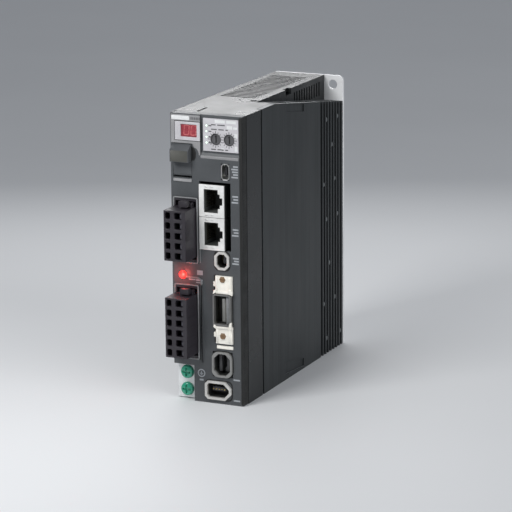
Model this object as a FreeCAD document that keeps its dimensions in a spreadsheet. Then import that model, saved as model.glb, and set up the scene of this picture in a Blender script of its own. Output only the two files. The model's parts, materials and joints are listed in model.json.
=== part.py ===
import FreeCAD, Part
import os
import re

import Sketcher

# A book-style servo drive that stands on its narrow base.  X runs across its width, Y from the
# front panel to the mounting plate, Z up.  The origin is on the floor under the middle of its box.

document = FreeCAD.newDocument("ServoDrive")
sheet = document.addObject("Spreadsheet::Sheet", "Dims")

dimensions = {
    # how far a cut runs past a surface, and how far one feature is sunk into the next
    "overcut": 1,
    "sink_in": 0.1,
    # outer case
    "half_width": 20,
    "case_height": 150,
    "front_y": -59.5,
    "rear_y": 72.5,
    "wall": 2,
    "plate_thickness": 1.6,
    # front cover: a shallow tray with one window per port
    "cover_depth": 6,
    "cover_face": 2,
    "cover_side": 1.2,
    "cover_inset": 0.3,
    "cover_corner": 0.8,
    "label_step_x": -2.8,
    "label_step_z": 130.5,
    "label_step_depth": 0.8,
    "label_step_rise": 2.5,
    "ridge_x": -3.6,
    "ridge_width": 1.0,
    "ridge_height": 0.6,
    "ridge_low_z": 21,
    "ridge_high_z": 62,
    # case shell: full width at the nose, narrow behind the shoulder
    "nose_back_y": -35.5,
    "nose_step_x": 17.3,
    "shoulder_y": -18.5,
    "body_side_x": 9,
    "thin_wall": 1.6,
    "case_corner": 1.0,
    "vent_left_x": -16,
    "vent_right_x": 4,
    "vent_first_y": -8,
    "vent_width": 1.6,
    "vent_pitch": 3.6,
    "vent_count": 19,
    "foot_vent_pitch": 7.2,
    "foot_vent_count": 9,
    "louvre_first_y": 30,
    "louvre_width": 1.5,
    "louvre_pitch": 3.3,
    "louvre_count": 11,
    "louvre_low_z": 139.5,
    "louvre_high_z": 147,
    "module_window_front_y": 0,
    "module_window_rear_y": 42,
    "module_window_low_z": 43,
    "module_window_high_z": 97,
    "top_slot_x": -7.9,
    "top_slot_width": 1.3,
    "top_slot_front_y": -52,
    "top_slot_rear_y": -41,
    "top_hole_x": 6.4,
    "top_hole_y": -15,
    "top_hole_radius": 1.8,
    "pilot_hole_x": -1.4,
    "pilot_hole_radius": 0.8,
    "notch_left_x": 7,
    "notch_front_y": 19.5,
    "notch_rear_y": 26.5,
    "notch_depth": 3,
    "relief_front_y": 22,
    "relief_right_x": -8,
    "relief_height": 10,
    # heat sink: one extrusion with an outer wall, two air ducts and a comb of fins
    "sink_front_y": -34.7,
    "sink_base_front_y": -18.1,
    "sink_base_thickness": 4,
    "sink_wall_thickness": 2.6,
    "sink_wall_rear_y": 40.1,
    "sink_rib": 2.6,
    "sink_middle_rib_y": 9,
    "fin_first_y": 42.5,
    "fin_thickness": 1.6,
    "fin_pitch": 3.75,
    "fin_count": 8,
    "slope_rate": 0.153,
    "band_front_y": -5,
    "band_rear_y": 18.2,
    "band_drop": 0.7,
    "band_height": 4,
    "band_depth": 0.6,
    "foot_band_front_y": -6.8,
    "foot_band_rear_y": 16.9,
    "foot_band_front_z": 3.3,
    "foot_band_rear_z": 1.4,
    "foot_band_front_height": 6.5,
    "foot_band_rear_height": 4.3,
    "boss_radius": 1.4,
    "boss_recess": 0.4,
    # back plate
    "plate_corner": 3,
    "mount_hole_radius": 2.6,
    "mount_hole_upper_x": 14,
    "mount_hole_upper_z": 145,
    "mount_hole_lower_x": -14,
    "mount_hole_lower_z": 5,
    # display
    "bezel_left_x": -16.8,
    "bezel_right_x": -2.9,
    "bezel_low_z": 136.4,
    "bezel_high_z": 145.9,
    "bezel_proud": 0.4,
    "bezel_depth": 2.4,
    "screen_left_x": -13.6,
    "screen_right_x": -4.6,
    "screen_low_z": 138.2,
    "screen_high_z": 144.6,
    "lens_depth": 1.2,
    "digit_front": 3,
    "digit_back": 8.6,
    "digit_margin_x": 0.4,
    "digit_margin_z": 0.6,
    "board_thickness": 1.2,
    "display_board_left_x": -17.5,
    "display_board_middle_x": -6.5,
    "display_board_right_x": 17.5,
    "display_board_low_z": 118,
    "display_board_middle_z": 131,
    "display_board_high_z": 147.4,
    # label panel with its lamps and dials
    "label_left_x": -1.3,
    "label_right_x": 18.2,
    "label_low_z": 131.7,
    "label_high_z": 148.4,
    "label_thickness": 0.6,
    "lamp_x": 0.6,
    "lamp_first_z": 136,
    "lamp_pitch": 2.9,
    "lamp_radius": 0.6,
    "lamp_count": 4,
    "lamp_recess": 0.1,
    "dial_left_x": 5.6,
    "dial_right_x": 13.0,
    "dial_z": 137.9,
    "dial_radius": 2.7,
    "dial_front": 0.9,
    "dial_back": 3.3,
    "dial_slot_width": 0.8,
    "dial_slot_depth": 0.7,
    "dial_hole_radius": 3,
    "dial_shaft_radius": 1.2,
    "dial_shaft_gap": 0.05,
    "dial_shaft_end": 6.2,
    "dial_shaft_room": 0.3,
    "arrow_tail": 2,
    "arrow_neck": 0.9,
    "arrow_tip": 2.2,
    "arrow_half": 1.1,
    "switch_half": 3.5,
    "switch_front": 3.5,
    # port flap and what is behind it
    "flap_left_x": -18.2,
    "flap_right_x": -7.9,
    "flap_gap": 0.2,
    "flap_swing_room": 0.5,
    "flap_axis_y": -58.15,
    "flap_axis_z": 119,
    "flap_barrel_radius": 1.3,
    "flap_pin_radius": 0.5,
    "flap_pin_gap": 0.05,
    "flap_pin_left_reach": 0.8,
    "flap_pin_right_reach": 1.4,
    "flap_thickness": 1.4,
    "flap_top_z": 134.4,
    "grip_low_z": 125.6,
    "grip_high_z": 131.8,
    "grip_proud": 4,
    "interlock_front": 3.4,
    "interlock_depth": 5.2,
    "interlock_side": 1.2,
    "interlock_wall": 0.8,
    "interlock_low_z": 121.4,
    "interlock_high_z": 133.4,
    # service port
    "service_left_x": 8.4,
    "service_right_x": 13.0,
    "service_low_z": 117.3,
    "service_high_z": 125.8,
    "service_back": 9.2,
    "service_skin": 0.4,
    "service_corner": 1.2,
    "service_inner_corner": 1.0,
    "service_recess": 0.2,
    "service_floor": 1,
    "service_tongue_width": 1.1,
    "service_tongue_recess": 1.4,
    "service_tongue_margin": 2,
    # network jacks
    "jack_left_x": -3.9,
    "jack_right_x": 10.0,
    "jack_half_height": 8.4,
    "jack_gap": 0.05,
    "jack_lip": 0.5,
    "jack_upper_z": 106.1,
    "jack_lower_z": 89.1,
    "jack_back": 16,
    "jack_proud": 0.3,
    "jack_skin": 0.5,
    "jack_mouth_left_x": -1.2,
    "jack_mouth_right_x": 6.6,
    "jack_mouth_half": 6,
    "jack_step_x": 7.7,
    "jack_step_half": 3.8,
    "jack_latch_x": 9.1,
    "jack_latch_half": 1.9,
    "jack_mouth_back": 13,
    "jack_recess_right_x": 13.6,
    "jack_recess_high_z": 116,
    "contact_count": 8,
    "contact_pitch": 1.02,
    "contact_width": 0.45,
    "contact_thickness": 0.4,
    "contact_front": 2.6,
    # safety port
    "safety_left_x": 4.5,
    "safety_right_x": 12.6,
    "safety_low_z": 70.9,
    "safety_high_z": 80.3,
    "safety_wall": 1.2,
    "safety_corner": 2.2,
    "safety_inner_corner": 1.5,
    "safety_proud": 0.8,
    "safety_back": 10,
    "safety_floor": 7,
    # input and output port
    "signal_left_x": 3.8,
    "signal_right_x": 13.9,
    "signal_low_z": 42,
    "signal_high_z": 58.4,
    "signal_proud": 2,
    "signal_back": 10,
    "signal_skin": 0.7,
    "signal_corner": 0.8,
    "signal_inner_corner": 0.6,
    "signal_tongue_recess": 1,
    "signal_floor": 5,
    "signal_tongue_left_x": 8.8,
    "signal_tongue_right_x": 10.6,
    "signal_tongue_low_z": 44.2,
    "signal_tongue_high_z": 56.2,
    "post_left_x": 5.2,
    "post_right_x": 14.3,
    "post_height": 9.2,
    "post_gap": 0.3,
    "post_proud": 1.4,
    "post_back": 9,
    "post_lug_width": 1.3,
    "post_lug_height": 2.4,
    "post_lug_recess": 0.4,
    "post_lug_upper_z": 62.3,
    "post_lug_lower_z": 35.8,
    "post_screw_x": 9.2,
    "post_screw_upper_z": 66.2,
    "post_screw_lower_z": 36.4,
    "post_screw_radius": 1.3,
    "post_screw_height": 0.6,
    "post_screw_shank": 0.8,
    "post_screw_end": 6,
    "post_hole_end": 7,
    "post_slot_half": 0.2,
    "post_slot_depth": 0.35,
    # linear scale port and encoder port
    "scale_left_x": 2.6,
    "scale_right_x": 13.8,
    "scale_low_z": 14.4,
    "scale_high_z": 27.8,
    "encoder_left_x": -1.6,
    "encoder_right_x": 13.2,
    "encoder_low_z": 2.2,
    "encoder_high_z": 12.0,
    "scale_wall": 1.0,
    "scale_corner": 3.4,
    "scale_inner_corner": 2.6,
    "encoder_wall": 1.2,
    "encoder_blunt_corner": 1.6,
    "encoder_sharp_corner": 3.4,
    "encoder_inner_shrink": 0.5,
    "port_proud": 1.2,
    "port_back": 12,
    "port_floor": 7,
    "pin_length": 2.2,
    "blade_inset": 2.1,
    "blade_thickness": 0.3,
    "blade_half": 0.25,
    "safety_pin_spread": 3.9,
    "scale_pin_spread": 5.6,
    "encoder_pin_spread": 2.6,
    # charge lamp and protective earth terminals
    "charge_x": -13.6,
    "charge_z": 66.5,
    "charge_radius": 2.3,
    "charge_proud": 0.9,
    "charge_back": 6,
    "charge_dome_radius": 2.65,
    "charge_body_depth": 0.6,
    "earth_notch_right_x": -8,
    "earth_notch_high_z": 19,
    "earth_left_x": -18.6,
    "earth_right_x": -8.3,
    "earth_low_z": 0.6,
    "earth_front": 3,
    "earth_plate": 1.5,
    "earth_gap": 0.2,
    "earth_tail_end_y": -36,
    "earth_tail_left_x": -17,
    "earth_tail_right_x": -10.3,
    "earth_screw_x": -13.2,
    "earth_screw_low_z": 5.2,
    "earth_screw_high_z": 14.4,
    "earth_head_radius": 3.3,
    "earth_head_height": 2.2,
    "earth_shank_radius": 1.9,
    "earth_shank_length": 6,
    "cross_width": 0.9,
    "cross_length": 3.6,
    "cross_depth": 1.2,
    # terminal blocks: a header in the drive and a plug that pulls out of it
    "row_pitch": 5.2,
    "mains_first_z": 79,
    "mains_rows": 5,
    "motor_first_z": 28.4,
    "motor_rows": 6,
    "row_margin": 2.6,
    "plug_left_x": -17.6,
    "plug_right_x": -5.6,
    "plug_nose_left_x": -16.8,
    "plug_nose_right_x": -5.7,
    "plug_front_y": -72.5,
    "plug_shoulder_y": -60.1,
    "plug_nose_y": -49.5,
    "header_left_x": -18.4,
    "header_box_left_x": -17.9,
    "header_right_x": -4.5,
    "header_cavity_left_x": -17.0,
    "header_cavity_right_x": -5.5,
    "header_floor_y": -47.5,
    "header_back_y": -44.5,
    "header_margin_low": 1.5,
    "header_margin_high": 2.8,
    "header_rim": 2,
    "header_proud": 0.5,
    "wire_x": -15.3,
    "wire_left_x": -17.0,
    "wire_right_x": -13.9,
    "wire_depth": 11.2,
    "release_left_x": -11.9,
    "release_right_x": -7.5,
    "entry_half": 1.9,
    "release_depth": 8,
    "cage_left_x": -16.2,
    "cage_right_x": -8.2,
    "cage_half": 1.9,
    "cage_front_y": -61.5,
    "cage_gap": 0.1,
    "cage_rear_gap": 0.6,
    "cage_slot_left_x": -13.8,
    "cage_slot_right_x": -8.8,
    "cage_slot_front": 1,
    "cage_slot_rear": 2,
    "pin_half": 0.5,
    "pin_socket_half": 0.7,
    "pin_tip_y": -56.5,
    "pin_bend_y": -39.5,
    "latch_left_x": -12.2,
    "latch_right_x": -7.4,
    "latch_axis_y": -62,
    "latch_axis_rise": 1.3,
    "latch_trunnion_radius": 0.7,
    "latch_trunnion_length": 0.6,
    "latch_trunnion_gap": 0.05,
    "latch_ear_thickness": 0.8,
    "latch_ear_gap": 0.15,
    "latch_ear_reach": 1.3,
    "latch_ear_height": 2.5,
    "latch_hub_radius": 1.0,
    "latch_arm_low": 1.0,
    "latch_arm_high": 1.8,
    "latch_arm_end_y": -51,
    "latch_hook_high": 2.4,
    "latch_hook_length": 1.6,
    "latch_hook_nose": 0.64,
    "latch_pad_low": 0.8,
    "latch_pad_high": 3.8,
    "latch_pad_front_y": -66.5,
    "latch_pad_back_y": -64,
    # boards and power parts
    "control_board_x": 14.4,
    "control_board_front": 2.7,
    "control_board_rear_y": -21,
    "control_board_low_z": 2.6,
    "control_board_high_z": 129.4,
    "power_board_x": -3.8,
    "power_board_thickness": 1.6,
    "power_board_front_y": -42,
    "power_board_rear_y": 66,
    "power_board_low_z": 14,
    "power_board_high_z": 141,
    "link_front_y": -32,
    "link_rear_y": -26,
    "link_low_z": 24,
    "link_high_z": 54,
    "module_left_x": 2.5,
    "module_right_x": 8.5,
    "module_front_y": 2,
    "module_rear_y": 40,
    "module_low_z": 46,
    "module_high_z": 94,
    "module_pin_half": 0.4,
    "module_pin_pitch": 4.4,
    "module_pin_first": 4.2,
    "module_pin_inset": 1,
    "module_pin_sink": 0.5,
    "module_pin_count": 10,
    "module_screw_radius": 1.6,
    "module_head_radius": 3,
    "module_head_height": 2,
    "module_screw_length": 3,
    "module_screw_low_z": 50,
    "module_screw_high_z": 90,
    "module_slot_radius": 1.7,
    "capacitor_radius": 6.2,
    "capacitor_length": 34,
    "capacitor_x": -10.4,
    "capacitor_front_y": 12,
    "capacitor_first_z": 84,
    "capacitor_pitch": 14,
    "capacitor_count": 4,
    "capacitor_lead_radius": 0.4,
    "capacitor_lead_reach": 1,
    "capacitor_lead_offset": 0.8,
    "relay_left_x": -15.8,
    "relay_front_y": -30,
    "relay_rear_y": -10,
    "relay_low_z": 112,
    "relay_high_z": 128,
    "transformer_front_y": -12,
    "transformer_rear_y": 8,
    "transformer_low_z": 108,
    "transformer_high_z": 130,
    "transformer_right_x": 6.4,
    "transformer_core": 4,
    "transformer_coil_inset": 2.2,
    "transformer_coil_lower": 0.8,
    "choke_x": -10.6,
    "choke_y": -18,
    "choke_z": 50,
    "choke_outer_radius": 10.5,
    "choke_inner_radius": 5,
    "choke_half_width": 5.5,
    "choke_leg_half": 1,
    "choke_leg_low_z": 56,
    "choke_leg_high_z": 59.5,
    "chip_left_x": 11.2,
    "chip_front_y": -42,
    "chip_rear_y": -26,
    "chip_low_z": 84,
    "chip_high_z": 100,
    "phy_high_z": 116,
    "phy_low_z": 106,
    "phy_left_x": 12.2,
    "phy_rear_y": -33,
}

for row, (alias, size) in enumerate(dimensions.items(), start=1):
    sheet.set(f"A{row}", alias)
    sheet.set(f"B{row}", str(size))
    sheet.setAlias(f"B{row}", alias)
document.recompute()

nodes = []
# tolerances of the tests that pick edges, in mm
near = 0.01
exact = 1e-6


def bound(expression):
    """Point every alias in an expression at its cell of the sheet."""
    return re.sub(r"[a-z_]+", lambda word: "Dims." + word.group(), str(expression))


def shifted(expression, amount):
    return f"({expression}) + ({amount})"


def front(depth):
    """The Y of a place that lies a given depth behind the front face."""
    return f"front_y + ({depth})"


# ---------------------------------------------------------------- primitives and booleans

def box(name, x, y, z):
    """A block between a low and a high value on each axis."""
    block = document.addObject("Part::Box", name)
    for (low, high), side, base in zip((x, y, z), ("Length", "Width", "Height"), "xyz"):
        block.setExpression(side, bound(f"({high}) - ({low})"))
        block.setExpression(f"Placement.Base.{base}", bound(low))
    return block


def rod(name, axis, radius, low, high, first, second):
    """A cylinder along an axis; first and second are its centre on the other two axes in order."""
    cylinder = document.addObject("Part::Cylinder", name)
    turns = {
        "X": FreeCAD.Rotation(FreeCAD.Vector(0, 1, 0), 90),
        "Y": FreeCAD.Rotation(FreeCAD.Vector(1, 0, 0), -90),
        "Z": FreeCAD.Rotation(),
    }
    cylinder.Placement = FreeCAD.Placement(FreeCAD.Vector(), turns[axis])
    cylinder.setExpression("Radius", bound(radius))
    cylinder.setExpression("Height", bound(f"({high}) - ({low})"))
    centre = {"X": (low, first, second), "Y": (first, low, second), "Z": (first, second, low)}[axis]
    for base, place in zip("xyz", centre):
        cylinder.setExpression(f"Placement.Base.{base}", bound(place))
    return cylinder


def fused(name, pieces):
    union = document.addObject("Part::MultiFuse", name)
    union.Shapes = pieces
    return union


def cut(name, base, tools):
    """A base with every tool taken away from it."""
    difference = document.addObject("Part::Cut", name)
    difference.Base = base
    difference.Tool = tools[0] if len(tools) == 1 else fused(name + "_tools", tools)
    return difference


def group(name, pieces):
    """Identical loose pieces that share one node."""
    compound = document.addObject("Part::Compound", name)
    compound.Links = pieces
    return compound


def node(piece, label):
    piece.Label = label
    nodes.append(piece)
    return piece


# ---------------------------------------------------------------- sketched bodies

def rectangle(low_u, high_u, low_v, high_v):
    return [(low_u, low_v), (high_u, low_v), (high_u, high_v), (low_u, high_v)]


def chamfered(low_u, high_u, low_v, high_v, corner, far_corner=None):
    """A rectangle whose corners are cut off at 45 degrees; the high side may have its own size."""
    far = far_corner or corner
    return [
        (shifted(low_u, corner), low_v), (shifted(high_u, f"-({far})"), low_v),
        (high_u, shifted(low_v, far)), (high_u, shifted(high_v, f"-({far})")),
        (shifted(high_u, f"-({far})"), high_v), (shifted(low_u, corner), high_v),
        (low_u, shifted(high_v, f"-({corner})")), (low_u, shifted(low_v, corner)),
    ]


def circle(u, v, radius):
    return {"centre": (u, v), "radius": radius}


def bindConstraint(sketch, constraint, expression):
    sketch.setExpression(f"Constraints[{sketch.addConstraint(constraint)}]", bound(expression))


def drawCircle(sketch, loop):
    edge = sketch.addGeometry(Part.Circle(FreeCAD.Vector(1, 1, 0), FreeCAD.Vector(0, 0, 1), 1), False)
    for kind, place in zip(("DistanceX", "DistanceY"), loop["centre"]):
        bindConstraint(sketch, Sketcher.Constraint(kind, -1, 1, edge, 3, 1.0), place)
    bindConstraint(sketch, Sketcher.Constraint("Radius", edge, 1.0), loop["radius"])


def drawPolygon(sketch, points):
    first = sketch.GeometryCount
    count = len(points)
    turn = FreeCAD.Rotation(FreeCAD.Vector(0, 0, 1), 360 / count)
    corner = FreeCAD.Vector(5, 0, 0)
    for _ in points:
        following = turn.multVec(corner)
        sketch.addGeometry(Part.LineSegment(corner, following), False)
        corner = following
    for step in range(count):
        joint = Sketcher.Constraint("Coincident", first + step, 2, first + (step + 1) % count, 1)
        sketch.addConstraint(joint)
    for step, point in enumerate(points):
        for kind, place in zip(("DistanceX", "DistanceY"), point):
            bindConstraint(sketch, Sketcher.Constraint(kind, -1, 1, first + step, 1, 1.0), place)


def outline(body, name, plane, offset, loops):
    """A sketch of closed loops on a plane parallel to one of the body's origin planes."""
    sketch = body.newObject("Sketcher::SketchObject", name)
    support = next(f for f in body.Origin.OriginFeatures if f.Role == plane + "_Plane")
    sketch.AttachmentSupport = [(support, "")]
    sketch.MapMode = "FlatFace"
    sign = "-" if plane == "XZ" else ""
    sketch.setExpression("AttachmentOffset.Base.z", bound(f"{sign}({offset})"))
    for loop in loops:
        if isinstance(loop, dict):
            drawCircle(sketch, loop)
        else:
            drawPolygon(sketch, loop)
    return sketch


def pad(body, name, plane, low, high, loops):
    """Loops on a plane, extruded from low to high along the plane's own axis."""
    feature = body.newObject("PartDesign::Pad", name)
    feature.Profile = outline(body, name + "_outline", plane, low, loops)
    feature.setExpression("Length", bound(f"({high}) - ({low})"))
    feature.Reversed = plane == "XZ"
    body.Tip = feature
    document.recompute()
    return feature


def pocket(body, name, plane, low, high, loops):
    """Loops cut away from low to high; a cut that removes nothing is an error."""
    before = body.Shape.Volume
    feature = body.newObject("PartDesign::Pocket", name)
    start = low if plane == "XZ" else high
    feature.Profile = outline(body, name + "_outline", plane, start, loops)
    feature.setExpression("Length", bound(f"({high}) - ({low})"))
    body.Tip = feature
    document.recompute()
    if body.Shape.Volume > before - exact:
        raise RuntimeError(f"{body.Label}: {name} cuts nothing")
    return feature


def repeated(body, feature, axis, pitch, count):
    """A row of copies of one feature along an axis of the body."""
    pattern = body.newObject("PartDesign::LinearPattern", feature.Name + "_row")
    direction = next(f for f in body.Origin.OriginFeatures if f.Role == axis + "_Axis")
    pattern.Originals = [feature]
    pattern.Direction = (direction, [""])
    pattern.setExpression("Length", bound(f"(({count}) - 1) * ({pitch})"))
    pattern.setExpression("Occurrences", bound(count))
    body.Tip = pattern
    document.recompute()
    return pattern


def rounded(body, name, radius, chosen):
    """A fillet on the edges of the body's tip that a test picks out."""
    base = body.Tip
    edges = [f"Edge{i}" for i, edge in enumerate(base.Shape.Edges, start=1) if chosen(edge)]
    feature = body.newObject("PartDesign::Fillet", name)
    feature.Base = (base, edges)
    feature.setExpression("Radius", bound(radius))
    body.Tip = feature
    document.recompute()
    return feature


def newBody(label):
    return node(document.addObject("PartDesign::Body", label), label)


# ---------------------------------------------------------------- case, heat sink, back plate

def makeFrontCover():
    body = newBody("front_cover")
    left = "-half_width + cover_inset"
    right = "half_width - cover_inset"
    inner = f"{front('cover_depth')}"
    face_back = front("cover_face")
    pad(body, "tray", "XZ", "front_y", inner, [rectangle(left, right, 0, "case_height")])
    wall_x = "earth_notch_right_x + cover_side"
    wall_z = "earth_notch_high_z + cover_side"
    hollow = [
        (wall_x, "cover_side"), (shifted(right, "-cover_side"), "cover_side"),
        (shifted(right, "-cover_side"), "case_height - cover_side"),
        (shifted(left, "cover_side"), "case_height - cover_side"),
        (shifted(left, "cover_side"), wall_z), (wall_x, wall_z),
    ]
    pocket(body, "hollow", "XZ", face_back, inner, [hollow])
    notch = rectangle("-half_width - overcut", "earth_notch_right_x", "-overcut", "earth_notch_high_z")
    pocket(body, "earth_notch", "XZ", "front_y - overcut", inner, [notch])
    step = rectangle("label_step_x", "half_width + overcut", "label_step_z", "case_height + overcut")
    pocket(body, "label_step", "XZ", "front_y - overcut", front("label_step_depth"), [step])
    bevel = [
        ("front_y - sink_in", "label_step_z - label_step_rise"),
        (front("label_step_depth"), "label_step_z + sink_in"),
        ("front_y - sink_in", "label_step_z + sink_in"),
    ]
    pocket(body, "label_bevel", "YZ", "label_step_x", "half_width + overcut", [bevel])
    windows = {
        "screen_window": rectangle("bezel_left_x", "bezel_right_x", "bezel_low_z", "bezel_high_z"),
        "flap_window": rectangle("flap_left_x - flap_gap", "flap_right_x + flap_gap",
                                 "flap_axis_z - flap_barrel_radius - flap_gap - flap_swing_room",
                                 "flap_top_z + flap_gap"),
        "service_window": rectangle("service_left_x", "service_right_x",
                                    "service_low_z", "service_high_z"),
        "jack_window": rectangle("jack_left_x", "jack_recess_right_x",
                                 "jack_lower_z - jack_half_height", "jack_recess_high_z"),
        "safety_window": chamfered("safety_left_x", "safety_right_x", "safety_low_z",
                                   "safety_high_z", "safety_corner"),
        "signal_window": rectangle("signal_left_x", "post_right_x",
                                   "signal_low_z - post_gap - post_height",
                                   "signal_high_z + post_gap + post_height"),
        "scale_window": rectangle("scale_left_x", "scale_right_x", "scale_low_z", "scale_high_z"),
        "encoder_window": chamfered("encoder_left_x", "encoder_right_x", "encoder_low_z",
                                    "encoder_high_z", "encoder_blunt_corner",
                                    "encoder_sharp_corner"),
        "mains_window": headerOutline("mains"),
        "motor_window": headerOutline("motor"),
        "charge_hole": circle("charge_x", "charge_z", "charge_radius"),
        "dial_hole_left": circle("dial_left_x", "dial_z", "dial_hole_radius"),
        "dial_hole_right": circle("dial_right_x", "dial_z", "dial_hole_radius"),
    }
    for name, window in windows.items():
        pocket(body, name, "XZ", "front_y - overcut", face_back, [window])
    lamp = pocket(body, "lamp_hole", "XZ", "front_y - overcut", face_back,
                  [circle("lamp_x", "lamp_first_z", "lamp_radius")])
    repeated(body, lamp, "Z", "lamp_pitch", "lamp_count")
    hinge = circle("flap_axis_y", "flap_axis_z", "flap_pin_radius")
    pocket(body, "hinge_hole", "YZ", "flap_left_x - flap_pin_left_reach",
           "flap_right_x + flap_pin_right_reach", [hinge])
    ridge = rectangle("ridge_x", "ridge_x + ridge_width", "ridge_low_z", "ridge_high_z")
    pad(body, "ridge", "XZ", "front_y - ridge_height", "front_y + sink_in", [ridge])
    rounded(body, "soft_corners", "cover_corner", lambda edge: isUpright(edge)
            and edge.BoundBox.YMin < body.Shape.BoundBox.YMin + dimensions["cover_corner"]
            and abs(abs(edge.BoundBox.XMin) - body.Shape.BoundBox.XMax) < near)


def isUpright(edge):
    """A straight edge that runs along Z for a good part of the height."""
    reach = edge.BoundBox
    return reach.ZLength > dimensions["half_width"] and max(reach.XLength, reach.YLength) < exact


def headerOutline(name):
    low = f"{name}_first_z - row_margin - header_margin_low - header_rim"
    high = f"{name}_first_z + ({name}_rows - 1) * row_pitch + row_margin + header_margin_high + header_rim"
    return rectangle("header_left_x", "header_right_x", low, high)


def makeCaseShell():
    body = newBody("case_shell")
    front_edge = front("cover_depth")
    rear_edge = "rear_y - plate_thickness"
    skin = [
        ("-half_width", front_edge), ("half_width", front_edge),
        ("half_width", "nose_back_y"), ("nose_step_x", "nose_back_y"),
        ("nose_step_x", "shoulder_y"), ("body_side_x", "shoulder_y"),
        ("body_side_x", rear_edge), ("-half_width", rear_edge),
    ]
    hollow = [
        ("-half_width + wall", shifted(front_edge, "-overcut")),
        ("half_width - wall", shifted(front_edge, "-overcut")),
        ("half_width - wall", "nose_back_y - wall"), ("nose_step_x - thin_wall", "nose_back_y - wall"),
        ("nose_step_x - thin_wall", "shoulder_y - wall"), ("body_side_x - wall", "shoulder_y - wall"),
        ("body_side_x - wall", shifted(rear_edge, "-wall")),
        ("-half_width + wall", shifted(rear_edge, "-wall")),
    ]
    pad(body, "skin", "XY", 0, "case_height", [skin])
    pocket(body, "inside", "XY", "wall", "case_height - wall", [hollow])
    relief_wall = rectangle("-half_width", "relief_right_x + wall", 0, "relief_height + wall")
    pad(body, "relief_wall", "XZ", "relief_front_y - wall", rear_edge, [relief_wall])
    relief = rectangle("-half_width - overcut", "relief_right_x", "-overcut", "relief_height")
    pocket(body, "relief", "XZ", "relief_front_y", shifted(rear_edge, "overcut"), [relief])
    vent = rectangle("vent_left_x", "vent_right_x", "vent_first_y", "vent_first_y + vent_width")
    top = pocket(body, "top_vent", "XY", "case_height - wall - overcut", "case_height + overcut", [vent])
    repeated(body, top, "Y", "vent_pitch", "vent_count")
    bottom_vent = rectangle("relief_right_x + wall + overcut", "vent_right_x",
                            "vent_first_y", "vent_first_y + vent_width")
    bottom = pocket(body, "bottom_vent", "XY", "-overcut", "wall + overcut", [bottom_vent])
    repeated(body, bottom, "Y", "foot_vent_pitch", "foot_vent_count")
    louvre = rectangle("louvre_first_y", "louvre_first_y + louvre_width",
                       "louvre_low_z", "louvre_high_z")
    side = pocket(body, "louvre", "YZ", "body_side_x - wall - overcut", "body_side_x + overcut", [louvre])
    repeated(body, side, "Y", "louvre_pitch", "louvre_count")
    window = rectangle("module_window_front_y", "module_window_rear_y",
                       "module_window_low_z", "module_window_high_z")
    pocket(body, "module_window", "YZ", "body_side_x - wall - overcut", "body_side_x + overcut", [window])
    slot = rectangle("top_slot_x - top_slot_width / 2", "top_slot_x + top_slot_width / 2",
                     "top_slot_front_y", "top_slot_rear_y")
    pocket(body, "top_slot", "XY", "case_height - wall - overcut", "case_height + overcut", [slot])
    holes = [circle("top_hole_x", "top_hole_y", "top_hole_radius"),
             circle("pilot_hole_x", "top_hole_y", "pilot_hole_radius")]
    for name, hole in zip(("hook_hole", "pilot_hole"), holes):
        pocket(body, name, "XY", "case_height - wall - overcut", "case_height + overcut", [hole])
    notch = rectangle("notch_left_x - sink_in", "body_side_x + overcut", "notch_front_y", "notch_rear_y")
    pocket(body, "edge_notch", "XY", "case_height - notch_depth", "case_height + overcut", [notch])
    rounded(body, "soft_corners", "case_corner", lambda edge: isUpright(edge)
            and abs(abs(edge.BoundBox.XMin) - dimensions["half_width"]) < near
            and edge.BoundBox.YMin > dimensions["nose_back_y"] - near
            and edge.BoundBox.ZLength > dimensions["case_height"] / 2)


def slopeHeight(y):
    """The height of the sloping top at a given Y."""
    return f"case_height - (({y}) - shoulder_y) * slope_rate"


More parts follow.
